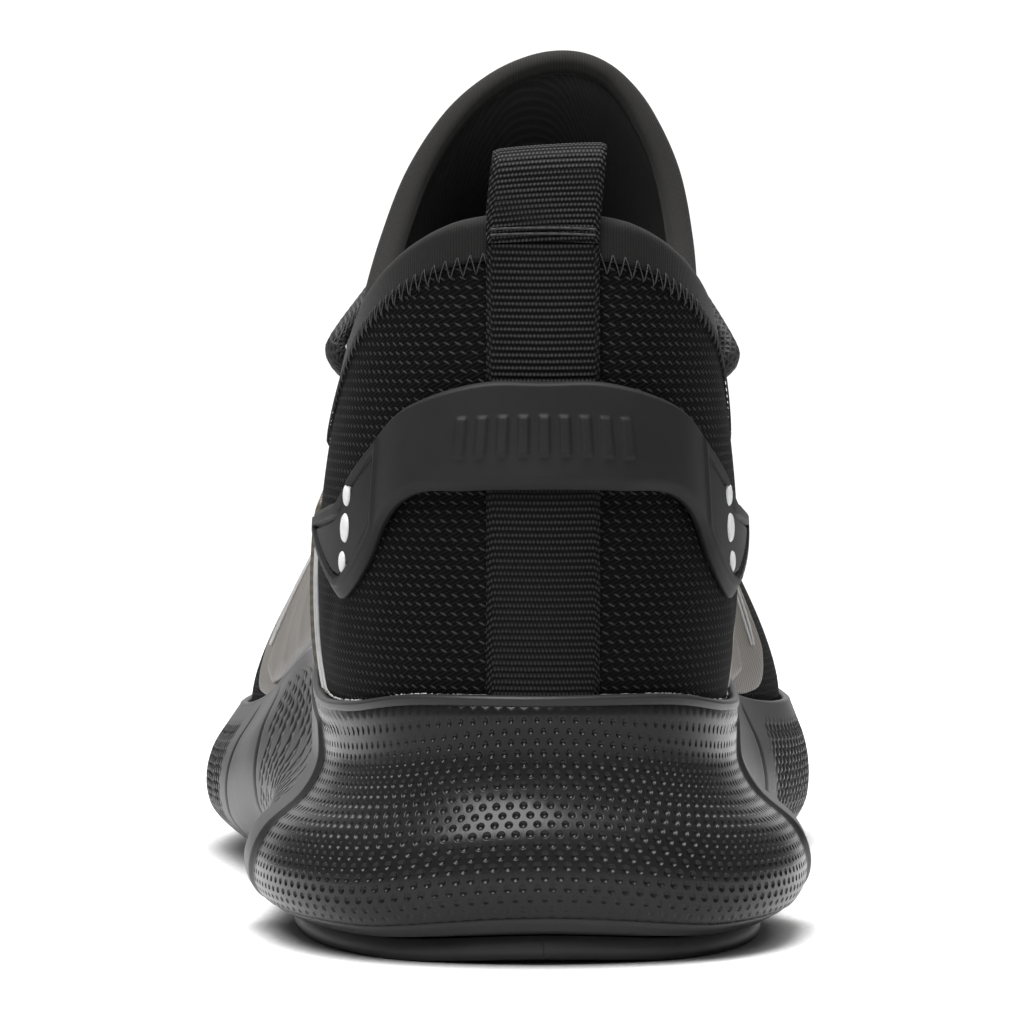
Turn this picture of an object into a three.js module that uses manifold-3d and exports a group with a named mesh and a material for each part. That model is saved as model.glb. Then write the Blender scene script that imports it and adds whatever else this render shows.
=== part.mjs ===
// Low-cut safety sneaker for the left foot.
// Millimetres, +Z up, the toe along +Y and the inner side of the foot along +X.
// The origin is on the floor under the middle of the heel.

import * as THREE from "three";
import { mergeVertices } from "three/addons/utils/BufferGeometryUtils.js";
import Module from "manifold-3d";

const wasm = await Module();
wasm.setup();

// Driving sizes of the sole
const soleLength = 300;
const heelWidth = 91.5; // across the flare of the heel
const ballWidth = 114; // across the ball of the foot
const heelSetback = 50; // from the back of the sole to the origin
const heelStack = 30; // foot bed above the floor under the heel
const foreStack = 19; // foot bed above the floor under the ball
const heelFlare = 13; // how far the sole stands out beyond the upper at the heel
const foreFlare = 8.5; // and at the forefoot
const rimRise = 13; // side wall of the sole above the foot bed
const rimWall = 1.8; // thickness of that wall at its top
const cupGap = 0.45; // between that wall and the upper inside it
const toeSpring = 9; // lift of the underside at the tip of the toe
const heelRoll = 3; // lift of the underside at the back of the heel
const archRise = 3.5; // lift of the underside under the arch
const outsoleThickness = 3.5;
const outsoleInset = 2; // step between the side of the sole and the tread plate
const lugGrooveDepth = 1.8;
const lugGrooveWidth = 4;
const lugGroovePitch = 17;
const lugGrooveAngle = 0.35; // radians
const ridgeProud = 0.9; // smooth band at the front edge of the heel cup
const ridgeBow = 0.03; // how far the band bows towards the heel, in stations
const waistRecess = 1.1; // side panels set back behind the band
const insoleThickness = 4;

// Driving sizes of the upper
const collarRise = 84.5; // top of the collar at the back, above the heel's foot bed
const instepRise = 65.5; // top of the eyestay above the heel's foot bed
const tongueRise = 116.4; // tip of the tongue above the heel's foot bed
const collarWidth = 63;
const throatWidth = 52;
const upperWall = 2.6;
const collarPad = 2; // extra thickness of the padded collar
const collarPadLow = 0.45; // where it begins and is full, as shares of the upper's height
const collarPadHigh = 0.8;
const tongueWall = 3.6;
const tongueTuck = 10; // how far the tongue reaches down inside the throat
const tongueGap = 0.55;
const overlayWall = 1.2; // eyestay and side panels
const overlayGap = 0.45;
const eyestayWidth = 12;
const eyestayEdge = 1.5; // from the throat's edge
const strapWall = 2.2; // moulded rubber strap round the heel
const strapEndWall = 1.5;
const tapeWidth = 17.6; // webbing of the heel tape and the pull loop
const tapeWall = 1.2;
const pullLoopRise = 12.5; // top of the pull loop above the collar
const pullLoopSeam = 2.7; // the seam between the heel tape and the loop, below the collar's edge
const pullLoopTuck = 6; // how far the loop's inner end reaches down inside the collar
const pullLoopLean = 0.1; // sideways shift of the loop for each millimetre of height
const laceWidth = 3.6;
const laceThickness = 2.8;
const laceGap = 1.4;
const laceLead = 3.2; // straight run of the lace out of a loop
const laceLoopWidth = 5;
const laceLoopSpan = 9; // from foot to foot
const laceLoopBulge = 3; // height of the space inside the loop
const laceLoopWall = 0.9;
const laceLoopEdge = 1.5; // from the throat's edge to the loop
const eyeletPairs = 5;
const gap = 0.3; // clearance between neighbouring pieces

// Places along the sole, as shares of soleLength from its back
const heelRollEnd = 0.045;
const archStart = 0.29;
const archEnd = 0.52;
const archBlend = 0.09;
const stackDropStart = 0.27;
const stackDropEnd = 0.63;
const springStart = 0.72;
const springCurve = 1.7; // how late the toe spring rises
const treadZones = [
  { from: 0.08, to: 0.26 },
  { from: 0.54, to: 0.74 },
];

// Places round the shoe, as stations from the heel (0) to the toe (1)
const heelShapeEnd = 0.34;
const foreShapeStart = 0.48;
const ridgeStart = 0.286;
const ridgeEnd = 0.325;
const foreEdge = 0.491;
const collarPadStart = 0.35;
const collarPadEnd = 0.5;
const eyestayStart = 26 / 64;
const tongueStart = 20 / 64;
const topEyelet = 0.44;
const bottomEyelet = 0.72;

// Mesh density
const aroundSteps = 64;
const upSteps = 7;
const laceSteps = 10;
const laceSides = 6;

// A table is a list of rows at even stations from the heel (0) to the toe (1), with named columns.
function table(names, rows) {
  const columns = {};
  names.split(" ").forEach((name, i) => {
    columns[name] = rows.map((row) => row[i]);
  });
  return columns;
}

// The outline of the sole: half widths as shares of heelWidth and ballWidth, its bend as a share of ballWidth.
// How much of each flare lies inside it, and how far the upper sits towards the inner side, a share of ballWidth.
const outline = table("heel ball bend heelFlare foreFlare shift", [
  [0.0, 0.0, 0.0, 0.62, 0.0, 0.0],
  [0.279, 0.0, 0.0, 0.78, 0.0, 0.0],
  [0.443, 0.0, 0.0, 0.97, 0.0, 0.0],
  [0.5, 0.0, -0.004, 1.0, 0.0, 0.0],
  [0.3, 0.125, -0.021, 0.55, 0.35, 0.003],
  [0.12, 0.324, -0.022, 0.2, 0.68, 0.008],
  [0.0, 0.506, 0.013, 0.0, 0.86, 0.012],
  [0.0, 0.471, 0.045, 0.0, 0.86, 0.008],
  [0.0, 0.349, 0.074, 0.0, 0.94, 0.003],
  [0.0, 0.193, 0.083, 0.0, 1.0, 0.0],
  [0.0, 0.0, 0.08, 0.0, 1.05, 0.0],
]);

// The rim of the sole above its foot bed, as a share of rimRise.
const rim = table("rise", [
  [0.85],
  [0.83],
  [0.66],
  [0.66],
  [1.17],
  [0.82],
  [0.66],
  [0.69],
  [0.77],
  [0.96],
  [1.08],
]);

// The ribs of the upper, each from the rim of the sole to the collar or throat. Their tops: along is a share of
// soleLength, the half width of collarWidth and throatWidth, bend of ballWidth, the height of collarRise and instepRise.
// The handles: lift and drop are shares of instepRise, swell and reach of collarWidth.
const ribs = table(
  "along collar throat bend ofCollar ofInstep lift swell reach drop",
  [
    [0.033, 0.0, 0.0, 0.0, 1.0, 0.0, 0.4, 0.055, 0.016, 0.37],
    [0.041, 0.262, 0.0, 0.0, 0.974, 0.0, 0.4, 0.055, 0.016, 0.34],
    [0.099, 0.43, 0.0, 0.0, 0.865, 0.0, 0.34, 0.052, 0.04, 0.28],
    [0.205, 0.5, 0.0, 0.0, 0.67, 0.0, 0.25, 0.048, 0.05, 0.21],
    [0.302, 0.33, 0.14, 0.014, 0.3, 0.6, 0.2, 0.0, 0.03, 0.22],
    [0.405, 0.0, 0.445, 0.028, 0.0, 1.03, 0.18, 0.0, 0.07, 0.24],
    [0.5, 0.0, 0.39, 0.032, 0.0, 0.91, 0.2, 0.015, 0.13, 0.16],
    [0.577, 0.0, 0.327, 0.035, 0.0, 0.8, 0.26, 0.03, 0.33, 0.09],
    [0.63, 0.0, 0.26, 0.034, 0.0, 0.735, 0.36, 0.05, 0.62, 0.07],
    [0.66, 0.0, 0.154, 0.034, 0.0, 0.695, 0.42, 0.055, 0.86, 0.08],
    [0.673, 0.0, 0.0, 0.034, 0.0, 0.68, 0.43, 0.06, 0.95, 0.09],
  ],
);

// The rim of the tongue: along is a share of soleLength, across of collarWidth, bend of ballWidth,
// height of collarRise and tongueRise. The handles lead, drop and ahead are shares of tongueRise.
const tongueRim = table("along across bend ofCollar ofTongue lead drop ahead", [
  [0.225, 0.468, 0.0, 0.71, 0.0, 0.02, 0.02, 0.0],
  [0.225, 0.468, 0.0, 0.71, 0.0, 0.02, 0.02, 0.0],
  [0.225, 0.468, 0.0, 0.71, 0.0, 0.02, 0.02, 0.0],
  [0.225, 0.468, 0.0, 0.71, 0.0, 0.02, 0.02, 0.0],
  [0.28, 0.447, 0.01, 0.46, 0.29, 0.05, 0.06, 0.0],
  [0.32, 0.42, 0.024, 0.2, 0.578, 0.1, 0.11, 0.02],
  [0.347, 0.37, 0.037, 0.0, 0.824, 0.15, 0.17, 0.05],
  [0.363, 0.286, 0.048, 0.0, 0.909, 0.2, 0.2, 0.08],
  [0.372, 0.193, 0.059, 0.0, 0.962, 0.24, 0.22, 0.1],
  [0.375, 0.096, 0.067, 0.0, 0.991, 0.26, 0.22, 0.11],
  [0.377, 0.0, 0.07, 0.0, 1.0, 0.26, 0.22, 0.11],
]);

// The side of the sole from its bottom edge to its rim: how far it stands out, from the rim's outline (0) to the
// widest one (1).
const sideProfile = [
  { level: 0, heel: 0.5, fore: 0.1 },
  { level: 0.05, heel: 0.79, fore: 0.34 },
  { level: 0.11, heel: 0.94, fore: 0.58 },
  { level: 0.2, heel: 1.01, fore: 0.84 },
  { level: 0.3, heel: 0.97, fore: 0.96 },
  { level: 0.42, heel: 0.78, fore: 1.0 },
  { level: 0.57, heel: 0.25, fore: 0.92 },
  { level: 0.7, heel: 0.0, fore: 0.74 },
  { level: 0.85, heel: -0.04, fore: 0.38 },
  { level: 1, heel: 0, fore: 0 },
];

// The rubber strap, half of it: at is a station of the ribs, low and high are shares of collarRise.
const strapEdge = [
  { at: 0, low: 0.515, high: 0.71 },
  { at: 0.05, low: 0.513, high: 0.709 },
  { at: 0.1, low: 0.5, high: 0.672 },
  { at: 0.13, low: 0.448, high: 0.633 },
  { at: 0.155, low: 0.375, high: 0.59 },
  { at: 0.18, low: 0.327, high: 0.545 },
  { at: 0.205, low: 0.303, high: 0.492 },
  { at: 0.23, low: 0.332, high: 0.476 },
  { at: 0.26, low: 0.385, high: 0.462 },
  { at: 0.285, low: 0.435, high: 0.452 },
];

// The side panel: at is a station of the ribs, low and high are shares of the rib above the rim.
const sidePanelEdge = [
  { at: 0.325, low: 0.03, high: 0.62 },
  { at: 0.36, low: 0.03, high: 0.66 },
  { at: 0.4, low: 0.03, high: 0.64 },
  { at: 0.44, low: 0.03, high: 0.58 },
  { at: 0.48, low: 0.04, high: 0.5 },
  { at: 0.515, low: 0.06, high: 0.38 },
  { at: 0.53, low: 0.12, high: 0.24 },
];

const up = new THREE.Vector3(0, 0, 1);
const forward = new THREE.Vector3(0, 1, 0);
const clamp01 = (x) => Math.min(1, Math.max(0, x));
const smooth = (x) => clamp01(x) ** 2 * (3 - 2 * clamp01(x));
const mix = THREE.MathUtils.lerp;
const alongSole = (y) => (y + heelSetback) / soleLength;

// A column of a table at station q, on a smooth curve through its rows. An odd one runs through zero at both ends.
function column(rows, q, odd = false) {
  const last = rows.length - 1;
  const mirror = odd ? -1 : 1;
  const at = (i) => {
    if (i < 0) return mirror * rows[-i];
    return i > last ? mirror * rows[2 * last - i] : rows[i];
  };
  const i = Math.min(last - 1, Math.floor(clamp01(q) * last));
  const t = clamp01(q) * last - i;
  const [a, b, c, d] = [at(i - 1), at(i), at(i + 1), at(i + 2)];
  const cubic = (3 * (b - c) + d - a) * t + 2 * a - 5 * b + 4 * c - d;
  return b + 0.5 * t * (c - a + t * cubic);
}

// A key of a list of rows, by straight lines between the rows.
function between(rows, key, x, value) {
  const next = rows.findIndex((row) => row[key] >= x);
  if (next <= 0) return rows[next < 0 ? rows.length - 1 : 0][value];
  const a = rows[next - 1];
  const b = rows[next];
  return mix(a[value], b[value], (x - a[key]) / (b[key] - a[key]));
}

// A turn runs from the back of the heel (0) along the inner side to the toe (0.5), and back along the outer side.
function stationOf(turn) {
  const whole = turn - Math.floor(turn);
  return { q: 1 - Math.abs(1 - 2 * whole), side: whole < 0.5 ? 1 : -1 };
}

// How much of the heel's shape a station has.
function heelness(q) {
  return 1 - smooth((q - heelShapeEnd) / (foreShapeStart - heelShapeEnd));
}

// The widest outline of the sole, in plan.
function soleOutline(turn) {
  const { q, side } = stationOf(turn);
  const half =
    column(outline.heel, q, true) * heelWidth +
    column(outline.ball, q, true) * ballWidth;
  return new THREE.Vector3(
    column(outline.bend, q) * ballWidth + side * half,
    (soleLength * (1 - Math.cos(Math.PI * q))) / 2 - heelSetback,
    0,
  );
}

function outlineNormal(turn) {
  const step = 0.002;
  const along = soleOutline(turn + step).sub(soleOutline(turn - step));
  return new THREE.Vector3(along.y, -along.x, 0).normalize();
}

// The outline of the foot's last where it meets the sole, moved outwards by extra.
function lastOutline(turn, extra = 0) {
  const { q } = stationOf(turn);
  const flare =
    column(outline.heelFlare, q) * heelFlare +
    column(outline.foreFlare, q) * foreFlare;
  const point = soleOutline(turn).addScaledVector(outlineNormal(turn), extra - flare);
  return point.setX(point.x + column(outline.shift, q) * ballWidth);
}

function springLift(y) {
  const share = clamp01((alongSole(y) - springStart) / (1 - springStart));
  return toeSpring * share ** springCurve;
}

// Underside of the tread: rolled at the back, raised under the arch, sprung at the toe, and flat between.
function underside(y) {
  const s = alongSole(y);
  const arch = smooth((s - archStart) / archBlend) * smooth((archEnd - s) / archBlend);
  const roll = clamp01(1 - s / heelRollEnd) ** 2;
  return heelRoll * roll + archRise * arch + springLift(y);
}

function footBed(y) {
  const drop = (alongSole(y) - stackDropStart) / (stackDropEnd - stackDropStart);
  return mix(heelStack, foreStack, smooth(drop)) + springLift(y);
}

function rimHeight(turn) {
  const { q } = stationOf(turn);
  return footBed(lastOutline(turn).y) + column(rim.rise, q) * rimRise;
}

function bezier(a, b, c, d, t) {
  const s = 1 - t;
  return new THREE.Vector3()
    .addScaledVector(a, s * s * s)
    .addScaledVector(b, 3 * s * s * t)
    .addScaledVector(c, 3 * s * t * t)
    .addScaledVector(d, t * t * t);
}

// The outside of the upper: height 0 is the rim of the sole and 1 is the collar or throat.
// Below 0 the wall goes straight down to the foot bed, at -1.
function upperSurface(turn, height) {
  const { q, side } = stationOf(turn);
  const foot = lastOutline(turn).setZ(rimHeight(turn));
  if (height <= 0) {
    return foot.setZ(mix(foot.z, footBed(foot.y) + gap, -height));
  }
  const half =
    column(ribs.collar, q, true) * collarWidth +
    column(ribs.throat, q, true) * throatWidth;
  const top = new THREE.Vector3(
    column(ribs.bend, q) * ballWidth + side * half,
    column(ribs.along, q) * soleLength - heelSetback,
    heelStack +
      column(ribs.ofCollar, q) * collarRise +
      column(ribs.ofInstep, q) * instepRise,
  );
  const away = new THREE.Vector3(foot.x - top.x, foot.y - top.y, 0).normalize();
  const outwards = outlineNormal(turn);
  const sideways = away.lerp(outwards, heelness(q)).normalize();
  const first = foot
    .clone()
    .addScaledVector(up, column(ribs.lift, q) * instepRise)
    .addScaledVector(outwards, column(ribs.swell, q) * collarWidth);
  const second = top
    .clone()
    .addScaledVector(sideways, column(ribs.reach, q) * collarWidth)
    .addScaledVector(up, -column(ribs.drop, q) * instepRise);
  return bezier(foot, first, second, top, height);
}

// The normal of a surface of two parameters, kept inside low to high in the second.
function normalOf(surface, turn, height, low, high) {
  const step = 0.004;
  const aheadTurn = surface(turn + step, height);
  const alongTurn = aheadTurn.sub(surface(turn - step, height));
  const a = Math.max(low, height - step);
  const b = Math.min(high, height + step);
  const alongHeight = surface(turn, b).sub(surface(turn, a));
  return alongTurn.cross(alongHeight).normalize();
}

// A point of the upper moved out of its surface by out, or inwards where out is negative.
function upperPoint(turn, height, out = 0) {
  const normal =
    height <= 0
      ? outlineNormal(turn)
      : normalOf(upperSurface, turn, height, 0, 1);
  return upperSurface(turn, height).addScaledVector(normal, out);
}

function wallAt(turn, height) {
  const { q } = stationOf(turn);
  const high = smooth((height - collarPadLow) / (collarPadHigh - collarPadLow));
  const back = smooth((collarPadEnd - q) / (collarPadEnd - collarPadStart));
  return upperWall + collarPad * high * back;
}

// The height parameter at which a rib reaches z.
function heightAt(turn, z) {
  let low = 0;
  let high = 1;
  for (let i = 0; i < 24; i += 1) {
    const middle = (low + high) / 2;
    if (upperSurface(turn, middle).z < z) low = middle;
    else high = middle;
  }
  return (low + high) / 2;
}

// The height parameter that lies a given length below the top of a rib.
function heightBelowTop(turn, length) {
  let height = 1;
  let run = 0;
  let last = upperSurface(turn, 1);
  while (run < length && height > 0.02) {
    height -= 0.01;
    const next = upperSurface(turn, height);
    run += next.distanceTo(last);
    last = next;
  }
  return height;
}

// The outside of the tongue. From -1 to 0 it lies inside the upper's edge, and from 0 to 1 it rises free to its rim.
function tongueSurface(turn, height) {
  const { q, side } = stationOf(turn);
  if (height <= 0) {
    const inside = 1 + height * (1 - heightBelowTop(turn, tongueTuck));
    return upperPoint(turn, inside, -wallAt(turn, inside) - tongueGap);
  }
  const foot = upperPoint(turn, 1, -wallAt(turn, 1) - tongueGap);
  const before = upperPoint(turn, 0.97, -wallAt(turn, 0.97) - tongueGap);
  const top = new THREE.Vector3(
    column(tongueRim.bend, q) * ballWidth +
      side * column(tongueRim.across, q, true) * collarWidth,
    column(tongueRim.along, q) * soleLength - heelSetback,
    heelStack +
      column(tongueRim.ofCollar, q) * collarRise +
      column(tongueRim.ofTongue, q) * tongueRise,
  );
  const heading = foot.clone().sub(before).normalize();
  const first = foot
    .clone()
    .addScaledVector(heading, column(tongueRim.lead, q) * tongueRise);
  const second = top
    .clone()
    .addScaledVector(up, -column(tongueRim.drop, q) * tongueRise)
    .addScaledVector(forward, column(tongueRim.ahead, q) * tongueRise);
  return bezier(foot, first, second, top, height);
}

function tonguePoint(turn, height, out = 0) {
  const normal = normalOf(tongueSurface, turn, height, -1, 1);
  return tongueSurface(turn, height).addScaledVector(normal, out);
}

// A closed solid from a stack of rings with the same count of points.
// close "loop" joins the last ring to the first. close "caps" fills both ends: pole 1 pairs the points of a ring that
// has one point at each end of its axis, and pole 0 those of a thin section.
function ringSolid(rings, close, pole = 0) {
  const count = rings[0].length;
  const positions = rings.flat().flatMap((p) => [p.x, p.y, p.z]);
  const faces = [];
  const layers = close === "loop" ? rings.length : rings.length - 1;
  for (let j = 0; j < layers; j += 1) {
    const lower = j * count;
    const upper = ((j + 1) % rings.length) * count;
    for (let k = 0; k < count; k += 1) {
      const next = (k + 1) % count;
      faces.push(lower + k, lower + next, upper + next);
      faces.push(lower + k, upper + next, upper + k);
    }
  }
  if (close === "caps") {
    const capAt = (base, flip) => {
      const pairs = Math.floor(count / 2);
      for (let k = 0; k < pairs; k += 1) {
        const a = base + k;
        const b = base + k + 1;
        const c = base + ((2 * count - k - 2 + pole) % count);
        const d = base + ((2 * count - k - 1 + pole) % count);
        for (const [p, q, r] of [
          [a, b, c],
          [a, c, d],
        ]) {
          if (p !== q && q !== r && r !== p)
            faces.push(...(flip ? [p, r, q] : [p, q, r]));
        }
      }
    };
    capAt(0, true);
    capAt((rings.length - 1) * count, false);
  }
  return outwardGeometry(positions, faces);
}

// A geometry from points and faces, turned so that its faces point out.
function outwardGeometry(positions, faces) {
  const corner = (i) =>
    new THREE.Vector3().fromArray(positions, 3 * faces[i]);
  let volume = 0;
  for (let i = 0; i < faces.length; i += 3) {
    volume += corner(i).dot(corner(i + 1).cross(corner(i + 2)));
  }
  if (volume < 0) faces.reverse();
  return new THREE.BufferGeometry()
    .setAttribute("position", new THREE.Float32BufferAttribute(positions, 3))
    .setIndex(faces);
}

// A shell with an outside, an inside and rounded or square edges, over turns by heights.
// outer and inner are functions of turn and height; turns without an end close into a hoop.
function shell(outer, inner, turns, heightsAt, hoop, crown = 0) {
  const sections = turns.map((turn) => {
    const heights = heightsAt(turn);
    const out = heights.map((h) => outer(turn, h));
    const back = heights.map((h) => inner(turn, h)).reverse();
    const ring = [...out];
    if (crown > 0) {
      const top = out[out.length - 1];
      const rise = top.clone().sub(out[out.length - 2]).normalize();
      for (const share of [0.22, 0.5, 0.78]) {
        const lifted = crown * Math.sin(Math.PI * share);
        ring.push(top.clone().lerp(back[0], share).addScaledVector(rise, lifted));
      }
    }
    return [...ring, ...back];
  });
  return hoop ? ringSolid(sections, "loop") : ringSolid(sections, "caps");
}

const evenly = (count, low, high) =>
  Array.from({ length: count + 1 }, (_, i) => mix(low, high, i / count));
const hoopTurns = evenly(aroundSteps, 0, 1).slice(0, -1);

// Turns of a band that is centred on the toe or on the heel, given as stations of one half.
const roundToe = (stations) => [
  ...stations.map((q) => q / 2),
  ...stations.slice(0, -1).reverse().map((q) => 1 - q / 2),
];
const roundHeel = (stations) => [
  ...stations.slice(1).reverse().map((q) => -q / 2),
  ...stations.map((q) => q / 2),
];

function manifoldOf(geometry) {
  const plain = geometry.clone();
  plain.deleteAttribute("normal");
  plain.deleteAttribute("uv");
  const merged = mergeVertices(plain, 1e-4);
  return new wasm.Manifold(
    new wasm.Mesh({
      numProp: 3,
      vertProperties: merged.attributes.position.array,
      triVerts: new Uint32Array(merged.index.array),
    }),
  );
}

function geometryOf(solid) {
  const mesh = solid.getMesh();
  return new THREE.BufferGeometry()
    .setAttribute(
      "position",
      new THREE.BufferAttribute(new Float32Array(mesh.vertProperties), 3),
    )
    .setIndex(Array.from(mesh.triVerts));
}

// Sole

const soleStations = [
  ...evenly(9, 0, 0.282),
  ...evenly(2, 0.291, 0.32),
  ...evenly(5, 0.329, 0.486),
  ...evenly(2, 0.496, 0.54),
  ...evenly(12, 0.56, 1),
];
const soleTurns = roundToe(soleStations).slice(0, -1);

// A turn moved towards the heel at half height, so that the grid follows the bowed band.
function bowed(turn, level) {
  const { q, side } = stationOf(turn);
  const nearBand = smooth(1 - Math.abs(q - (ridgeStart + ridgeEnd) / 2) / 0.2);
  return turn - (side * ridgeBow * nearBand * Math.sin(Math.PI * level)) / 2;
}

// A ring of the side of the sole at a level from 0, its bottom edge, to 1, its rim.
function soleRing(level) {
  return soleTurns.map((grid) => {
    const { q } = stationOf(grid);
    const turn = bowed(grid, level);
    const share = mix(
      between(sideProfile, "level", level, "fore"),
      between(sideProfile, "level", level, "heel"),
      heelness(stationOf(turn).q),
    );
    const rimPoint = lastOutline(turn, cupGap + rimWall);
    const point = rimPoint.clone().lerp(soleOutline(turn), share);
    const bottom = underside(point.y) + outsoleThickness + gap;
    const relief = Math.sqrt(Math.sin(Math.PI * clamp01(level)));
    const ridge = q > ridgeStart && q < ridgeEnd ? ridgeProud : 0;
    const waist = q > ridgeEnd && q < foreEdge ? -waistRecess : 0;
    point.addScaledVector(outlineNormal(turn), relief * (ridge + waist));
    return point.setZ(mix(bottom, rimHeight(turn), level));
  });
}

function cupRing(height) {
  return soleTurns.map((turn) => {
    const point = lastOutline(turn, cupGap);
    return point.setZ(mix(footBed(point.y), rimHeight(turn), height));
  });
}

// The midsole: a cup, from its bottom edge up its side, over the rim and down to the foot bed.
function midsole() {
  const side = sideProfile.map((row) => soleRing(row.level));
  return ringSolid([...side, cupRing(1), cupRing(0)], "caps", 1);
}

function plateRing(outlineAt, heightOf) {
  return soleTurns.map((turn) => {
    const point = outlineAt(turn);
    return point.setZ(heightOf(point.y));
  });
}

function treadOutline(turn, inset) {
  const { q } = stationOf(turn);
  const share = mix(sideProfile[0].fore, sideProfile[0].heel, heelness(q));
  return lastOutline(turn, cupGap + rimWall)
    .lerp(soleOutline(turn), share)
    .addScaledVector(outlineNormal(turn), -inset);
}

// The tread plate, with grooves across its flat heel and forefoot that leave the main lugs.
function outsole() {
  const bevel = outsoleThickness / 3;
  const rings = [
    plateRing((turn) => treadOutline(turn, outsoleInset + bevel), underside),
    plateRing(
      (turn) => treadOutline(turn, outsoleInset),
      (y) => underside(y) + bevel,
    ),
    plateRing(
      (turn) => treadOutline(turn, outsoleInset),
      (y) => underside(y) + outsoleThickness,
    ),
  ];
  let plate = manifoldOf(ringSolid(rings, "caps", 1));
  const reach = ballWidth / 2;
  const groove = new THREE.BoxGeometry(reach, lugGrooveWidth, 2 * lugGrooveDepth);
  for (const zone of treadZones) {
    const run = (zone.to - zone.from) * soleLength;
    const count = Math.max(1, Math.round(run / lugGroovePitch));
    for (let i = 0; i <= count; i += 1) {
      const y = mix(zone.from, zone.to, i / count) * soleLength - heelSetback;
      for (const side of [-1, 1]) {
        const cut = new THREE.Object3D();
        cut.position.set((side * (reach + lugGrooveWidth)) / 2, y, 0);
        cut.rotation.z = side * lugGrooveAngle;
        cut.updateMatrix();
        plate = plate.subtract(manifoldOf(groove.clone().applyMatrix4(cut.matrix)));
      }
    }
  }
  return geometryOf(plate);
}

function insole() {
  const inside = (turn) => lastOutline(turn, -upperWall - gap);
  const rings = [gap, gap + insoleThickness].map((lift) =>
    plateRing(inside, (y) => footBed(y) + lift),
  );
  return ringSolid(rings, "caps", 1);
}

// Upper

function upper() {
  const rows = evenly(upSteps, 0, 1).slice(1);
  const heights = [-1, -0.02, ...rows.map((row) => 1 - (1 - row) ** 1.35)];
  const outer = (turn, h) => upperPoint(turn, h);
  const inner = (turn, h) => upperPoint(turn, h, -wallAt(turn, h));
  return shell(outer, inner, hoopTurns, () => heights, true, upperWall * 0.4);
}

function tongue() {
  const stations = evenly(22, tongueStart, 1);
  const heights = [-1, 0, ...evenly(5, 0.16, 1)];
  const outer = (turn, h) => tonguePoint(turn, h);
  const inner = (turn, h) => tonguePoint(turn, h, -tongueWall);
  return shell(outer, inner, roundToe(stations), () => heights, false, tongueWall * 0.45);
}

// A piece that lies on the upper, its lift and wall being functions of the turn.
function overlay(turns, heightsAt, liftAt, wallOf) {
  const outer = (turn, h) => upperPoint(turn, h, liftAt(turn) + wallOf(turn));
  const inner = (turn, h) => upperPoint(turn, h, liftAt(turn));
  return shell(outer, inner, turns, heightsAt, false);
}

// The strap crosses over the heel tape and lies down on the upper beside it.
function strapLift(turn) {
  const { q } = stationOf(turn);
  return gap + (tapeWall + gap) * (1 - smooth((q - 0.1) / 0.05));
}

function heelStrap() {
  const stations = [0, 0.03, 0.06, 0.09, 0.115, 0.14, 0.16, 0.18, 0.205, 0.23, 0.26, 0.285];
  const heightsAt = (turn) => {
    const { q } = stationOf(turn);
    const edge = (key) =>
      heightAt(turn, heelStack + between(strapEdge, "at", q, key) * collarRise);
    return evenly(4, edge("low"), edge("high"));
  };
  const wallOf = (turn) => {
    const { q } = stationOf(turn);
    return mix(strapWall, strapEndWall, smooth((q - 0.1) / 0.1));
  };
  return overlay(roundHeel(stations), heightsAt, strapLift, wallOf);
}

function sidePanel(side) {
  const stations = evenly(12, sidePanelEdge[0].at, sidePanelEdge[6].at);
  const turns = stations.map((q) => (side > 0 ? q / 2 : 1 - q / 2));
  const heightsAt = (turn) => {
    const { q } = stationOf(turn);
    return evenly(
      5,
      between(sidePanelEdge, "at", q, "low"),
      between(sidePanelEdge, "at", q, "high"),
    );
  };
  return overlay(turns, heightsAt, () => overlayGap, () => overlayWall);
}

function eyestay() {
  const heightsAt = (turn) =>
    evenly(
      2,
      heightBelowTop(turn, eyestayEdge + eyestayWidth),
      heightBelowTop(turn, eyestayEdge),
    );
  return overlay(roundToe(evenly(19, eyestayStart, 1)), heightsAt, () => overlayGap, () => overlayWall);
}

// Webbing up the back of the heel, from the rim of the sole to the collar.
function halfTapeTurn() {
  let turn = 0;
  while (upperSurface(turn, 0.5).x < tapeWidth / 2) turn += 0.0005;
  return turn;
}

function tapeSection(height, out) {
  const limit = halfTapeTurn();
  return evenly(6, -limit, limit).map((turn) => {
    const point = upperPoint(turn, height, out);
    return point.setX(((turn / limit) * tapeWidth) / 2);
  });
}

function heelTape() {
  const top = heightAt(0, heelStack + collarRise - pullLoopSeam - gap);
  const sections = evenly(10, 0.02, top).map((height) => [
    ...tapeSection(height, gap + tapeWall),
    ...tapeSection(height, gap).reverse(),
  ]);
  return ringSolid(sections, "caps");
}

// The pull loop: webbing folded over the edge of the collar, with a clear space above it.
function pullLoop() {
  const limit = halfTapeTurn();
  const rings = evenly(4, -limit, limit).map((turn) => {
    const outside = upperPoint(turn, 1, gap);
    const inside = upperPoint(turn, 1, -wallAt(turn, 1) - 4 * gap);
    const middle = (outside.y + inside.y) / 2;
    const radius = (inside.y - outside.y) / 2;
    const crown = outside.z + pullLoopRise - tapeWall - radius;
    const line = (out) => [
      [-radius - out, outside.z - pullLoopSeam],
      ...evenly(8, Math.PI, 0).map((angle) => [
        (radius + out) * Math.cos(angle),
        crown + (radius + out) * Math.sin(angle),
      ]),
      [radius + out, outside.z - pullLoopTuck],
    ];
    return [...line(tapeWall), ...line(0).reverse()].map(([y, z]) => {
      const lean = pullLoopLean * Math.max(0, z - outside.z);
      const x = ((turn / limit) * tapeWidth) / 2 + lean;
      return new THREE.Vector3(x, middle + y, z);
    });
  });
  return ringSolid(rings, "caps");
}

// Lacing

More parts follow.
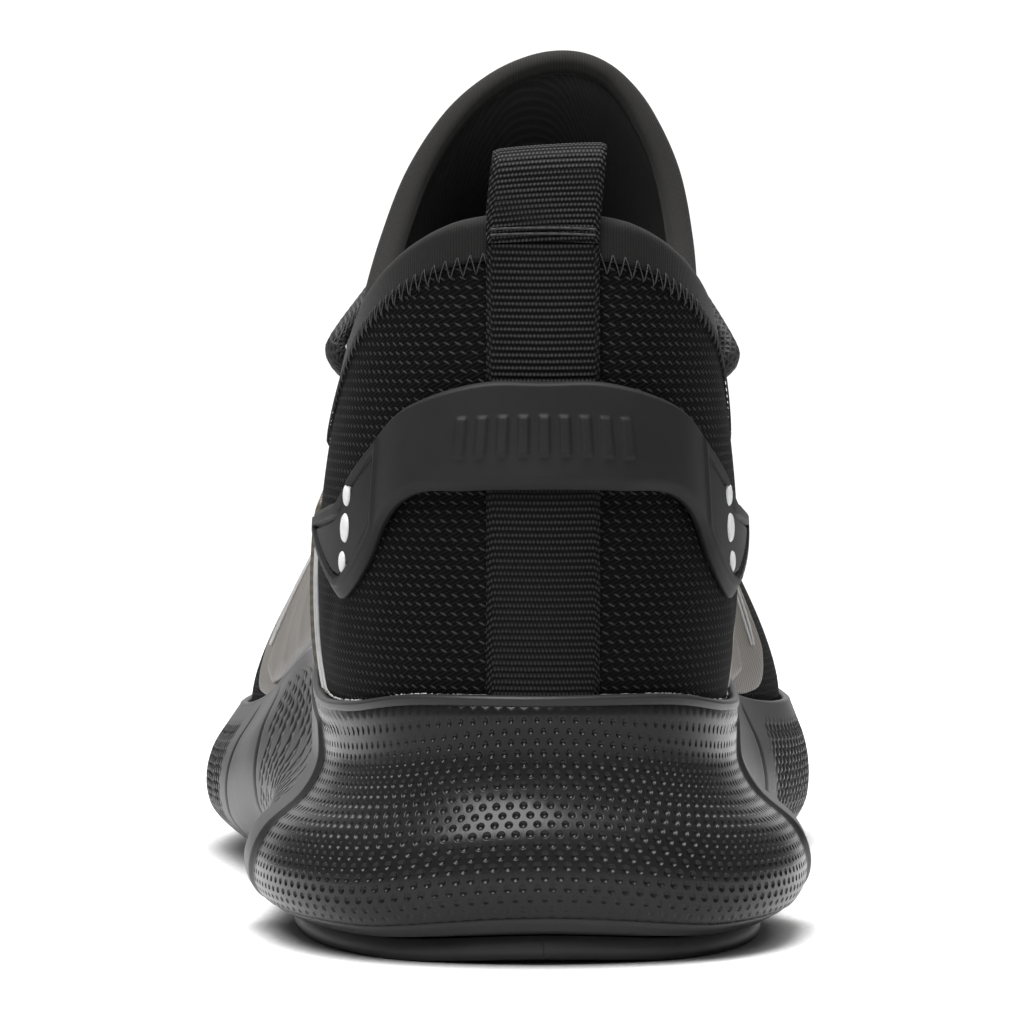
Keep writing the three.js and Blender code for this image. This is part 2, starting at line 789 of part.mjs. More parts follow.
const laceLoopFoot = gap;
const topAngle = 0.9; // lean of the planes of the top and the bottom strands from upright, in radians
const bottomAngle = 0.2;
const crossInset = laceLoopSpan / 2;
const crossRise = 1.5;
const barAngle = 0.8; // the same of the top bar
const barInset = 1;
const barRise = 6;

// The place of a lace loop: its middle on the eyestay, the way along the throat towards the toe, the way to the
// throat's edge and the way out of the surface.
function eyeletAt(pair, side) {
  const q = mix(topEyelet, bottomEyelet, pair / (eyeletPairs - 1));
  const turnOf = (station) => (side > 0 ? station / 2 : 1 - station / 2);
  const onEyestay = (station, below) => {
    const turn = turnOf(station);
    return upperPoint(turn, heightBelowTop(turn, below), overlayGap + overlayWall + gap);
  };
  const middle = laceLoopEdge + laceLoopSpan / 2;
  const centre = onEyestay(q, middle);
  const along = onEyestay(q + 0.01, middle)
    .sub(onEyestay(q - 0.01, middle))
    .normalize();
  const inwards = onEyestay(q, laceLoopEdge)
    .sub(onEyestay(q, laceLoopEdge + laceLoopSpan))
    .normalize();
  const out = along.clone().cross(inwards).multiplyScalar(side).normalize();
  return { centre, along, inwards, out };
}

// A webbing loop that arches off the eyestay, open along the throat.
function laceLoop(pair, side) {
  const { centre, along, inwards, out } = eyeletAt(pair, side);
  const arch = (extra) =>
    evenly(8, 0, Math.PI).map((angle) =>
      centre
        .clone()
        .addScaledVector(inwards, -(laceLoopSpan / 2 + extra) * Math.cos(angle))
        .addScaledVector(out, (laceLoopBulge + extra) * Math.sin(angle) + laceLoopFoot),
    );
  const rings = [-laceLoopWidth / 2, laceLoopWidth / 2].map((shift) =>
    [...arch(laceLoopWall), ...arch(0).reverse()].map((point) =>
      point.clone().addScaledVector(along, shift),
    ),
  );
  return ringSolid(rings, "caps");
}

// Where a lace comes out of a loop, towards the toe (1) or towards the heel (-1), and where it starts to turn:
// inset from the middle of the loop towards the throat, and rise above it.
function mouthOf(pair, side, towards, inset, rise) {
  const { centre, along, inwards, out } = eyeletAt(pair, side);
  const end = centre
    .clone()
    .addScaledVector(along, (towards * (laceLoopWidth + laceWidth)) / 2)
    .addScaledVector(out, laceLoopFoot + laceThickness / 2 + gap);
  const turn = end
    .clone()
    .addScaledVector(along, towards * laceLead)
    .addScaledVector(inwards, inset)
    .addScaledVector(out, rise);
  return { end, turn };
}

// A strand stretched from one mouth to another over the pieces under it, lifted by extra in its middle.
// tilt is how far its plane leans from upright towards the toe.
function laceStrand(from, to, tilt, under, extra = 0) {
  const normal = new THREE.Vector3(0, Math.sin(tilt), Math.cos(tilt));
  const far = instepRise + heelStack; // clear of everything under the strand
  const clear = laceThickness / 2 + laceGap;
  const ray = new THREE.Raycaster();
  const shares = evenly(laceSteps, 0, 1);
  const heights = shares.map((share) => {
    const origin = from.turn.clone().lerp(to.turn, share).addScaledVector(normal, far);
    ray.set(origin, normal.clone().negate());
    const hit = ray.intersectObjects(under)[0];
    if (share === 0 || share === 1 || !hit) return 0;
    const facing = Math.max(0.4, hit.face.normal.dot(normal));
    return Math.max(0, far - hit.distance + clear / facing);
  });
  const line = shares.map((share, i) => {
    let taut = heights[i];
    for (let j = 0; j < i; j += 1) {
      for (let k = i + 1; k < shares.length; k += 1) {
        taut = Math.max(taut, mix(heights[j], heights[k], (i - j) / (k - j)));
      }
    }
    const bump = extra * Math.sin(Math.PI * share) ** 6;
    return from.turn.clone().lerp(to.turn, share).addScaledVector(normal, taut + bump);
  });
  const curve = new THREE.CatmullRomCurve3([from.end, ...line, to.end]);
  const rings = evenly(laceSteps + 2, 0, 1).map((share) => {
    const tangent = curve.getTangent(share);
    const side = tangent.clone().cross(normal).normalize();
    const top = side.clone().cross(tangent).normalize();
    return evenly(laceSides, 0, 2 * Math.PI)
      .slice(0, -1)
      .map((angle) =>
        curve
          .getPoint(share)
          .addScaledVector(side, (laceWidth / 2) * Math.cos(angle))
          .addScaledVector(top, (laceThickness / 2) * Math.sin(angle)),
      );
  });
  return ringSolid(rings, "caps", 1);
}

// Two strands that cross between one pair of loops and the next, joined where they meet.
function laceCross(pair, tilt, under) {
  const [one, other] = [-1, 1].map((side) => {
    const lift = side > 0 ? laceThickness / 2 : 0;
    const ends = [
      mouthOf(pair + 1, side, -1, crossInset, crossRise),
      mouthOf(pair, -side, 1, crossInset, crossRise),
    ];
    return manifoldOf(laceStrand(...ends, tilt, under, lift));
  });
  return geometryOf(one.add(other));
}

function laceBar(pair, towards, tilt, inset, rise, under) {
  const ends = [-1, 1].map((side) => mouthOf(pair, side, towards, inset, rise));
  return laceStrand(...ends, tilt, under);
}

const sneaker = new THREE.Group();
const finish = {
  rubber: { color: 0x1d1d1f, roughness: 0.5 },
  tread: { color: 0x161617, roughness: 0.6 },
  knit: { color: 0x111113, roughness: 0.95 },
  lining: { color: 0x0d0d0e, roughness: 1 },
  webbing: { color: 0x141416, roughness: 0.9 },
  strap: { color: 0x232325, roughness: 0.6 },
  panel: { color: 0x2a2826, roughness: 0.35 },
};

function add(name, geometry, look) {
  const material = new THREE.MeshStandardMaterial({ ...finish[look], metalness: 0 });
  const mesh = new THREE.Mesh(geometry, material);
  mesh.name = name;
  sneaker.add(mesh);
  return mesh;
}

add("midsole", midsole(), "rubber");
add("outsole", outsole(), "tread");
add("insole", insole(), "lining");
const underLaces = [
  add("upper", upper(), "knit"),
  add("tongue", tongue(), "knit"),
  add("eyestay", eyestay(), "panel"),
];
add("heel_tape", heelTape(), "webbing");
add("pull_loop", pullLoop(), "webbing");
add("heel_strap", heelStrap(), "strap");
add("side_panel_inner", sidePanel(1), "panel");
add("side_panel_outer", sidePanel(-1), "panel");
for (let pair = 0; pair < eyeletPairs; pair += 1) {
  add(`lace_loop_inner_${pair + 1}`, laceLoop(pair, 1), "webbing");
  add(`lace_loop_outer_${pair + 1}`, laceLoop(pair, -1), "webbing");
}
const lastPair = eyeletPairs - 1;
for (let pair = 0; pair < lastPair; pair += 1) {
  const tilt = mix(topAngle, bottomAngle, pair / lastPair);
  add(`lace_cross_${pair + 1}`, laceCross(pair, tilt, underLaces), "webbing");
}
const bottomBar = laceBar(lastPair, 1, bottomAngle, crossInset, crossRise, underLaces);
const topBar = laceBar(0, -1, barAngle, barInset, barRise, underLaces);
add("lace_bar_bottom", bottomBar, "webbing");
add("lace_bar_top", topBar, "webbing");

export default sneaker;
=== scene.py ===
# Looks of the low-cut safety sneaker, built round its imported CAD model.
# Shapes are worked out in millimetres, +Z up and the toe along +Y, and put into the meshes in metres.

import bmesh
import bpy
import numpy as np
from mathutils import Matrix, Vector
from mathutils.bvhtree import BVHTree


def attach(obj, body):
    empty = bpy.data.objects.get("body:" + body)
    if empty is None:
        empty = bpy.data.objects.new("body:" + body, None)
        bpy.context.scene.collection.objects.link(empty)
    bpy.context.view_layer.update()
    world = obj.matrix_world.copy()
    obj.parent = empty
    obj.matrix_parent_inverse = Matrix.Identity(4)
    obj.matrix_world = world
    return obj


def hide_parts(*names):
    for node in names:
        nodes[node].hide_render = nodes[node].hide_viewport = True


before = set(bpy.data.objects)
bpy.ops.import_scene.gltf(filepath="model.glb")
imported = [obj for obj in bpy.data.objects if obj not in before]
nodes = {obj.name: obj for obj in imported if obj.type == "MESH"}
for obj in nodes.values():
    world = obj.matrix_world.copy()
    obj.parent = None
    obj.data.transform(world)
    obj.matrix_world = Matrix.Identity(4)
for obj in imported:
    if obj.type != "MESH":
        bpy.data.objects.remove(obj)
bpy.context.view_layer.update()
print("frame loaded,", len(nodes), "nodes")

mm = 0.001

# Sizes of the shoe, the same as the CAD model's
size = {
    "soleLength": 300.0,
    "heelWidth": 91.5,
    "ballWidth": 114.0,
    "heelSetback": 50.0,
    "heelStack": 30.0,
    "foreStack": 19.0,
    "heelFlare": 13.0,
    "foreFlare": 8.5,
    "rimRise": 13.0,
    "rimWall": 1.8,
    "cupGap": 0.45,
    "toeSpring": 9.0,
    "heelRoll": 3.0,
    "archRise": 3.5,
    "outsoleThickness": 3.5,
    "collarRise": 84.5,
    "instepRise": 65.5,
    "tongueRise": 116.4,
    "collarWidth": 63.0,
    "throatWidth": 52.0,
    "upperWall": 2.6,
    "collarPad": 2.0,
    "tongueWall": 3.6,
    "tongueTuck": 10.0,
    "tongueGap": 0.55,
    "overlayWall": 1.2,
    "overlayGap": 0.45,
    "gap": 0.3,
}

# Places along the sole, as shares of its length, and round the shoe, as stations from heel (0) to toe (1)
place = {
    "heelRollEnd": 0.045,
    "archStart": 0.29,
    "archEnd": 0.52,
    "archBlend": 0.09,
    "stackDropStart": 0.27,
    "stackDropEnd": 0.63,
    "springStart": 0.72,
    "springCurve": 1.7,
    "heelShapeEnd": 0.34,
    "foreShapeStart": 0.48,
    "ridgeStart": 0.286,
    "ridgeEnd": 0.325,
    "foreEdge": 0.491,
    "ridgeBow": 0.03,
    "ridgeBowReach": 0.2,
    "ridgeLean": 0.035,
    "ridgeLeanStart": 0.88,
    "collarPadLow": 0.45,
    "collarPadHigh": 0.8,
    "collarPadStart": 0.35,
    "collarPadEnd": 0.5,
    "eyestayStart": 26 / 64,
    "tongueStart": 20 / 64,
}


# A table of even stations from heel to toe, with named columns
def table(names, rows):
    return dict(zip(names.split(), np.array(rows, float).T))


# The outline of the sole, the rim, the ribs of the upper and the tongue's rim, as the CAD model has them
outline = table("heel ball bend heelFlare foreFlare shift", [
    [0.0, 0.0, 0.0, 0.62, 0.0, 0.0],
    [0.279, 0.0, 0.0, 0.78, 0.0, 0.0],
    [0.443, 0.0, 0.0, 0.97, 0.0, 0.0],
    [0.5, 0.0, -0.004, 1.0, 0.0, 0.0],
    [0.3, 0.125, -0.021, 0.55, 0.35, 0.003],
    [0.12, 0.324, -0.022, 0.2, 0.68, 0.008],
    [0.0, 0.506, 0.013, 0.0, 0.86, 0.012],
    [0.0, 0.471, 0.045, 0.0, 0.86, 0.008],
    [0.0, 0.349, 0.074, 0.0, 0.94, 0.003],
    [0.0, 0.193, 0.083, 0.0, 1.0, 0.0],
    [0.0, 0.0, 0.08, 0.0, 1.05, 0.0],
])
rimShare = [0.85, 0.83, 0.66, 0.66, 1.17, 0.82, 0.66, 0.69, 0.77, 0.96, 1.08]
ribs = table("along collar throat bend ofCollar ofInstep lift swell reach drop", [
    [0.033, 0.0, 0.0, 0.0, 1.0, 0.0, 0.4, 0.055, 0.016, 0.37],
    [0.041, 0.262, 0.0, 0.0, 0.974, 0.0, 0.4, 0.055, 0.016, 0.34],
    [0.099, 0.43, 0.0, 0.0, 0.865, 0.0, 0.34, 0.052, 0.04, 0.28],
    [0.205, 0.5, 0.0, 0.0, 0.67, 0.0, 0.25, 0.048, 0.05, 0.21],
    [0.302, 0.33, 0.14, 0.014, 0.3, 0.6, 0.2, 0.0, 0.03, 0.22],
    [0.405, 0.0, 0.445, 0.028, 0.0, 1.03, 0.18, 0.0, 0.07, 0.24],
    [0.5, 0.0, 0.39, 0.032, 0.0, 0.91, 0.2, 0.015, 0.13, 0.16],
    [0.577, 0.0, 0.327, 0.035, 0.0, 0.8, 0.26, 0.03, 0.33, 0.09],
    [0.63, 0.0, 0.26, 0.034, 0.0, 0.735, 0.36, 0.05, 0.62, 0.07],
    [0.66, 0.0, 0.154, 0.034, 0.0, 0.695, 0.42, 0.055, 0.86, 0.08],
    [0.673, 0.0, 0.0, 0.034, 0.0, 0.68, 0.43, 0.06, 0.95, 0.09],
])
tongueRim = table("along across bend ofCollar ofTongue lead drop ahead", [
    [0.225, 0.468, 0.0, 0.71, 0.0, 0.02, 0.02, 0.0],
    [0.225, 0.468, 0.0, 0.71, 0.0, 0.02, 0.02, 0.0],
    [0.225, 0.468, 0.0, 0.71, 0.0, 0.02, 0.02, 0.0],
    [0.225, 0.468, 0.0, 0.71, 0.0, 0.02, 0.02, 0.0],
    [0.28, 0.447, 0.01, 0.46, 0.29, 0.05, 0.06, 0.0],
    [0.32, 0.42, 0.024, 0.2, 0.578, 0.1, 0.11, 0.02],
    [0.347, 0.37, 0.037, 0.0, 0.824, 0.15, 0.17, 0.05],
    [0.363, 0.286, 0.048, 0.0, 0.909, 0.2, 0.2, 0.08],
    [0.372, 0.193, 0.059, 0.0, 0.962, 0.24, 0.22, 0.1],
    [0.375, 0.096, 0.067, 0.0, 0.991, 0.26, 0.22, 0.11],
    [0.377, 0.0, 0.07, 0.0, 1.0, 0.26, 0.22, 0.11],
])

# How far the side of the sole stands out, from the rim's outline (0) to the widest one (1)
sideProfile = table("level heel fore", [
    [0, 0.5, 0.1],
    [0.05, 0.79, 0.34],
    [0.11, 0.94, 0.58],
    [0.2, 1.01, 0.84],
    [0.3, 0.97, 0.96],
    [0.42, 0.78, 1.0],
    [0.57, 0.25, 0.92],
    [0.7, 0.0, 0.74],
    [0.85, -0.04, 0.38],
    [1, 0, 0],
])


def point(x, y, z):
    return np.stack(np.broadcast_arrays(np.asarray(x, float), y, z), -1)


def unit(v):
    return v / np.maximum(np.linalg.norm(v, axis=-1, keepdims=True), 1e-9)


def mix(a, b, t):
    return a + (b - a) * t


# The S curve 3x^2 - 2x^3, held at 0 and 1 outside its range
def smooth(x):
    x = np.clip(x, 0, 1)
    return x * x * (3 - 2 * x)


# 1 between low and high and 0 outside, with soft steps as wide as soft
def band(x, low, high, soft):
    return smooth((x - low) / soft + 0.5) * smooth((high - x) / soft + 0.5)


# Column of a table at stations q: a Catmull-Rom curve, mirrored past both ends. An odd one runs through zero there.
def columnAt(rows, q, odd=False):
    rows = np.asarray(rows, float)
    last = len(rows) - 1
    mirror = -1.0 if odd else 1.0
    padded = np.concatenate([[mirror * rows[1]], rows, [mirror * rows[-2]]])
    x = np.clip(q, 0, 1) * last
    i = np.minimum(last - 1, np.floor(x)).astype(int)
    t = x - i
    a, b, c, d = (padded[i + k] for k in range(4))
    cubic = (3 * (b - c) + d - a) * t + 2 * a - 5 * b + 4 * c - d
    return b + 0.5 * t * (c - a + t * cubic)


# A smooth curve through points at uneven places: cubic pieces whose slopes come from the neighbours
def softCurve(xs, ys):
    xs, ys = np.asarray(xs, float), np.asarray(ys, float)
    slope = np.gradient(ys, xs)
    dense = np.linspace(xs[0], xs[-1], 600)
    i = np.clip(np.searchsorted(xs, dense, side="right") - 1, 0, len(xs) - 2)
    width = xs[i + 1] - xs[i]
    t = (dense - xs[i]) / width
    made = (
        ys[i] * (1 + 2 * t) * (1 - t) ** 2
        + slope[i] * width * t * (1 - t) ** 2
        + ys[i + 1] * t * t * (3 - 2 * t)
        + slope[i + 1] * width * t * t * (t - 1)
    )
    return lambda x: np.interp(x, dense, made)


heelSide = softCurve(sideProfile["level"], sideProfile["heel"])
foreSide = softCurve(sideProfile["level"], sideProfile["fore"])


# A turn runs from the back of the heel (0) along the inner side to the toe (0.5), then back on the outer side
def stationOf(turn):
    whole = turn - np.floor(turn)
    return 1 - np.abs(1 - 2 * whole), np.where(whole < 0.5, 1.0, -1.0)


def heelness(q):
    return 1 - smooth((q - place["heelShapeEnd"]) / (place["foreShapeStart"] - place["heelShapeEnd"]))


# Widest outline in plan: a half width either side of a bent middle line, its stations closer at both tips
def soleOutline(turn):
    q, side = stationOf(turn)
    half = columnAt(outline["heel"], q, True) * size["heelWidth"]
    half = half + columnAt(outline["ball"], q, True) * size["ballWidth"]
    x = columnAt(outline["bend"], q) * size["ballWidth"] + side * half
    y = size["soleLength"] * (1 - np.cos(np.pi * q)) / 2 - size["heelSetback"]
    return point(x, y, 0)


def outlineNormal(turn):
    along = soleOutline(turn + 0.002) - soleOutline(turn - 0.002)
    return unit(point(along[..., 1], -along[..., 0], 0))


# The last's outline: the widest one moved in by the flare, and a little sideways
def lastOutline(turn, extra=0.0):
    q, _ = stationOf(turn)
    flare = columnAt(outline["heelFlare"], q) * size["heelFlare"]
    flare = flare + columnAt(outline["foreFlare"], q) * size["foreFlare"]
    made = soleOutline(turn) + outlineNormal(turn) * (extra - flare)[..., None]
    made[..., 0] += columnAt(outline["shift"], q) * size["ballWidth"]
    return made


def springLift(y):
    s = (y + size["heelSetback"]) / size["soleLength"]
    share = (s - place["springStart"]) / (1 - place["springStart"])
    return size["toeSpring"] * np.clip(share, 0, 1) ** place["springCurve"]


# Underside of the tread: rolled at the back, raised under the arch and sprung at the toe
def underside(y):
    s = (y + size["heelSetback"]) / size["soleLength"]
    arch = smooth((s - place["archStart"]) / place["archBlend"])
    arch = arch * smooth((place["archEnd"] - s) / place["archBlend"])
    roll = np.clip(1 - s / place["heelRollEnd"], 0, 1) ** 2
    return size["heelRoll"] * roll + size["archRise"] * arch + springLift(y)


def footBed(y):
    s = (y + size["heelSetback"]) / size["soleLength"]
    drop = smooth((s - place["stackDropStart"]) / (place["stackDropEnd"] - place["stackDropStart"]))
    return mix(size["heelStack"], size["foreStack"], drop) + springLift(y)


def rimHeight(turn):
    q, _ = stationOf(turn)
    return footBed(lastOutline(turn)[..., 1]) + columnAt(rimShare, q) * size["rimRise"]


def bezier(a, b, c, d, t):
    s = 1 - t
    return a * s**3 + b * 3 * s * s * t + c * 3 * s * t * t + d * t**3


# Outside of the upper: each turn has a Bezier rib from the sole's rim (height 0) to the collar or throat (1), and
# below 0 the wall goes straight down to the foot bed (-1)
def upperSurface(turn, height):
    turn, height = np.broadcast_arrays(np.asarray(turn, float), np.asarray(height, float))
    q, side = stationOf(turn)
    foot = lastOutline(turn)
    foot[..., 2] = rimHeight(turn)
    half = columnAt(ribs["collar"], q, True) * size["collarWidth"]
    half = half + columnAt(ribs["throat"], q, True) * size["throatWidth"]
    top = point(
        columnAt(ribs["bend"], q) * size["ballWidth"] + side * half,
        columnAt(ribs["along"], q) * size["soleLength"] - size["heelSetback"],
        size["heelStack"]
        + columnAt(ribs["ofCollar"], q) * size["collarRise"]
        + columnAt(ribs["ofInstep"], q) * size["instepRise"],
    )
    outwards = outlineNormal(turn)
    away = unit((foot - top) * [1, 1, 0])
    sideways = unit(mix(away, outwards, heelness(q)[..., None]))
    first = foot + outwards * (columnAt(ribs["swell"], q) * size["collarWidth"])[..., None]
    first[..., 2] += columnAt(ribs["lift"], q) * size["instepRise"]
    second = top + sideways * (columnAt(ribs["reach"], q) * size["collarWidth"])[..., None]
    second[..., 2] -= columnAt(ribs["drop"], q) * size["instepRise"]
    above = bezier(foot, first, second, top, np.clip(height, 0, 1)[..., None])
    low = foot.copy()
    low[..., 2] = mix(foot[..., 2], footBed(foot[..., 1]) + size["gap"], -np.clip(height, -1, 0))
    return np.where((height <= 0)[..., None], low, above)


# Normal of a surface of turn and height, from short steps either way
def normalOf(surface, turn, height, low, high, step=0.004):
    alongTurn = surface(turn + step, height) - surface(turn - step, height)
    raised = surface(turn, np.minimum(high, height + step))
    lowered = surface(turn, np.maximum(low, height - step))
    return unit(np.cross(alongTurn, raised - lowered))


def upperPoint(turn, height, out=0.0):
    turn, height, out = np.broadcast_arrays(*(np.asarray(x, float) for x in (turn, height, out)))
    normal = normalOf(upperSurface, turn, height, 0, 1)
    normal = np.where((height <= 0)[..., None], outlineNormal(turn), normal)
    return upperSurface(turn, height) + normal * out[..., None]


def wallAt(turn, height):
    q, _ = stationOf(turn)
    high = smooth((height - place["collarPadLow"]) / (place["collarPadHigh"] - place["collarPadLow"]))
    back = smooth((place["collarPadEnd"] - q) / (place["collarPadEnd"] - place["collarPadStart"]))
    return size["upperWall"] + size["collarPad"] * high * back


# The height at which a rib reaches z, by halving
def heightAt(turn, z):
    turn, z = np.broadcast_arrays(np.asarray(turn, float), np.asarray(z, float))
    low, high = np.zeros(turn.shape), np.ones(turn.shape)
    for _ in range(18):
        middle = (low + high) / 2
        under = upperSurface(turn, middle)[..., 2] < z
        low, high = np.where(under, middle, low), np.where(under, high, middle)
    return (low + high) / 2


# The height that lies a given length below the top of a rib, measured along it
def heightBelowTop(turn, length):
    turn = np.asarray(turn, float)
    length = np.broadcast_to(np.asarray(length, float), turn.shape)
    steps = np.linspace(1, 0, 81)
    line = upperSurface(turn[..., None], steps)
    run = np.concatenate(
        [np.zeros(turn.shape + (1,)), np.cumsum(np.linalg.norm(np.diff(line, axis=-2), axis=-1), -1)], -1
    )
    flatRun, flatLength = run.reshape(-1, len(steps)), length.reshape(-1)
    made = np.array([np.interp(want, have, steps) for want, have in zip(flatLength, flatRun)])
    return made.reshape(turn.shape)


# Outside of the tongue: inside the upper's edge from -1 to 0, then a free Bezier rib up to its rim at 1
def tongueSurface(turn, height):
    turn, height = np.broadcast_arrays(np.asarray(turn, float), np.asarray(height, float))
    q, side = stationOf(turn)
    tuck = heightBelowTop(turn[:, 0], size["tongueTuck"])[:, None] if turn.ndim == 2 else None
    if tuck is None:
        tuck = heightBelowTop(turn, size["tongueTuck"])
    tuck = np.broadcast_to(tuck, turn.shape)
    inside = 1 + np.clip(height, -1, 0) * (1 - tuck)
    low = upperPoint(turn, inside, -wallAt(turn, inside) - size["tongueGap"])
    foot = upperPoint(turn, 1.0, -wallAt(turn, 1.0) - size["tongueGap"])
    before = upperPoint(turn, 0.97, -wallAt(turn, 0.97) - size["tongueGap"])
    top = point(
        columnAt(tongueRim["bend"], q) * size["ballWidth"]
        + side * columnAt(tongueRim["across"], q, True) * size["collarWidth"],
        columnAt(tongueRim["along"], q) * size["soleLength"] - size["heelSetback"],
        size["heelStack"]
        + columnAt(tongueRim["ofCollar"], q) * size["collarRise"]
        + columnAt(tongueRim["ofTongue"], q) * size["tongueRise"],
    )
    first = foot + unit(foot - before) * (columnAt(tongueRim["lead"], q) * size["tongueRise"])[..., None]
    second = top.copy()
    second[..., 2] -= columnAt(tongueRim["drop"], q) * size["tongueRise"]
    second[..., 1] += columnAt(tongueRim["ahead"], q) * size["tongueRise"]
    above = bezier(foot, first, second, top, np.clip(height, 0, 1)[..., None])
    return np.where((height <= 0)[..., None], low, above)


def tonguePoint(turn, height, out=0.0):
    turn, height, out = np.broadcast_arrays(*(np.asarray(x, float) for x in (turn, height, out)))
    return tongueSurface(turn, height) + normalOf(tongueSurface, turn, height, -1, 1) * out[..., None]


# Puts points in millimetres and lists of faces into a mesh object. uv has faces of its own, cut at a seam.
def addMesh(name, points, faceSets, material, uv=None, uvFaceSets=None):
    mesh = bpy.data.meshes.new(name)
    corners = np.concatenate([f.ravel() for f in faceSets]).astype(np.int32)
    counts = np.concatenate([np.full(len(f), f.shape[1]) for f in faceSets])
    starts = np.concatenate([[0], np.cumsum(counts)[:-1]]).astype(np.int32)
    mesh.vertices.add(len(points))
    mesh.vertices.foreach_set("co", (points * mm).astype(np.float32).ravel())
    mesh.loops.add(len(corners))
    mesh.loops.foreach_set("vertex_index", corners)
    mesh.polygons.add(len(starts))
    mesh.polygons.foreach_set("loop_start", starts)
    mesh.polygons.foreach_set("use_smooth", np.ones(len(starts), bool))
    if uv is not None:
        layer = mesh.uv_layers.new(name="UVMap")
        picked = np.concatenate([f.ravel() for f in (uvFaceSets or faceSets)])
        layer.data.foreach_set("uv", (uv[picked] * mm).astype(np.float32).ravel())
    mesh.update(calc_edges=True)
    mesh.validate()
    mesh.materials.append(material)
    made = bpy.data.objects.new(name, mesh)
    bpy.context.scene.collection.objects.link(made)
    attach(made, "root")
    return made


def volumeOf(points, faces):
    a, b, c, d = (points[faces[:, k]] for k in range(4))
    return np.sum(a * np.cross(b, c)) + np.sum(a * np.cross(c, d))


# Quads of a grid of rows by columns; a closed direction joins its last line to its first
def gridFaces(rows, columns, closeRows=False, closeColumns=False):
    r = np.arange(rows if closeRows else rows - 1)[:, None]
    c = np.arange(columns if closeColumns else columns - 1)[None, :]
    r2, c2 = (r + 1) % rows, (c + 1) % columns
    corners = [r * columns + c, r * columns + c2, r2 * columns + c2, r2 * columns + c]
    return np.stack(np.broadcast_arrays(*corners), -1).reshape(-1, 4)


# A closed solid from rings of points. A hoop joins its last ring to the first, and any other solid has a ladder of
# quads over each end, between point k and the point as far from the ring's end. The uv is the length each way.
def ringSolid(name, rings, material, hoop=False, pole=0):
    rings = np.asarray(rings, float)
    count, around = rings.shape[:2]
    faces = gridFaces(count, around, hoop, True)
    whole = np.concatenate([rings, rings[:1]]) if hoop else rings
    whole = np.concatenate([whole, whole[:, :1]], 1)
    u = np.cumsum(np.linalg.norm(np.diff(whole, axis=0, prepend=whole[:1]), axis=-1), 0)
    u = u - u[len(whole) // 2]
    v = np.cumsum(np.linalg.norm(np.diff(whole, axis=1, prepend=whole[:, :1]), axis=-1), 1)
    uv = np.stack([u, v], -1).reshape(-1, 2)
    uvFaces = gridFaces(len(whole), around + 1)
    if not hoop:
        k = np.arange(around // 2 - 1 + (pole and around % 2 == 0))
        facing = 2 * around - k - 1 + pole
        pairs = np.stack([k, k + 1, (facing - 1) % around, facing % around], -1)
        ends = [pairs[:, ::-1], pairs + (count - 1) * around]
        uvPairs = np.stack([k, k + 1, k + 1, k], -1)
        faces = np.concatenate([faces, *ends])
        uvFaces = np.concatenate([uvFaces, uvPairs, uvPairs + (len(whole) - 1) * (around + 1)])
    points = rings.reshape(-1, 3)
    if volumeOf(points, faces) < 0:
        faces, uvFaces = faces[:, ::-1], uvFaces[:, ::-1]
    return addMesh(name, points, [faces], material, uv, [uvFaces])


# A round disc from rings of points out from its middle, and a flat back behind its last ring
def discSolid(name, rings, back, material):
    count, around = rings.shape[:2]
    middle = np.array([rings[0, 0], back[0, 0]])
    points = np.concatenate([middle[:1], rings[1:].reshape(-1, 3), back[-1], middle[1:]])
    k = np.arange(around)
    after = (k + 1) % around
    quads = gridFaces(count, around, False, True)[:, ::-1] + 1
    first = np.stack([np.zeros_like(k), 1 + k, 1 + after], -1)
    last = len(points) - 1
    end = np.stack([np.full_like(k, last), last - around + after, last - around + k], -1)
    outwards = points[0] - points[last]
    inside = np.dot(points[1] - points[0], np.cross(points[2] - points[0], outwards))
    if inside < 0:
        quads, first, end = quads[:, ::-1], first[:, ::-1], end[:, ::-1]
    return addMesh(name, points, [first, end, quads], material)


# A wall between an outer and an inner sheet of turns by heights, its top edge rounded by crown millimetres
def wallSolid(name, outer, inner, material, hoop=False, crown=0.0):
    parts = [outer]
    if crown:
        rise = unit(outer[:, -1] - outer[:, -2])
        for share in (0.1, 0.25, 0.42, 0.58, 0.75, 0.9):
            lifted = crown * np.sin(np.pi * share) ** 0.7
            parts.append((mix(outer[:, -1], inner[:, -1], share) + rise * lifted)[:, None])
    return ringSolid(name, np.concatenate([*parts, inner[:, ::-1]], 1), material, hoop)


# A round or flat cord along a line: an ellipse of width by thickness, carried on the line's tangent and normal
def cordSolid(name, line, normals, width, thickness, sides, material, closed=False, swell=None):
    line = np.asarray(line, float)
    if closed:
        tangent = unit(np.roll(line, -1, 0) - np.roll(line, 1, 0))
    else:
        tangent = unit(np.gradient(line, axis=0))
    side = unit(np.cross(tangent, normals))
    top = unit(np.cross(side, tangent))
    angle = np.arange(sides) * 2 * np.pi / sides
    along = np.ones((len(line), sides)) if swell is None else swell(len(line), angle)
    across = (width / 2) * np.cos(angle) * along
    upwards = (thickness / 2) * np.sin(angle) * along
    rings = line[:, None] + side[:, None] * across[..., None] + top[:, None] * upwards[..., None]
    return ringSolid(name, rings, material, closed, pole=1)


def mergeClose(made, distance=1e-6):
    work = bmesh.new()
    work.from_mesh(made.data)
    bmesh.ops.remove_doubles(work, verts=work.verts, dist=distance)
    bmesh.ops.dissolve_degenerate(work, edges=work.edges, dist=1e-7)
    work.to_mesh(made.data)
    work.free()
    return made


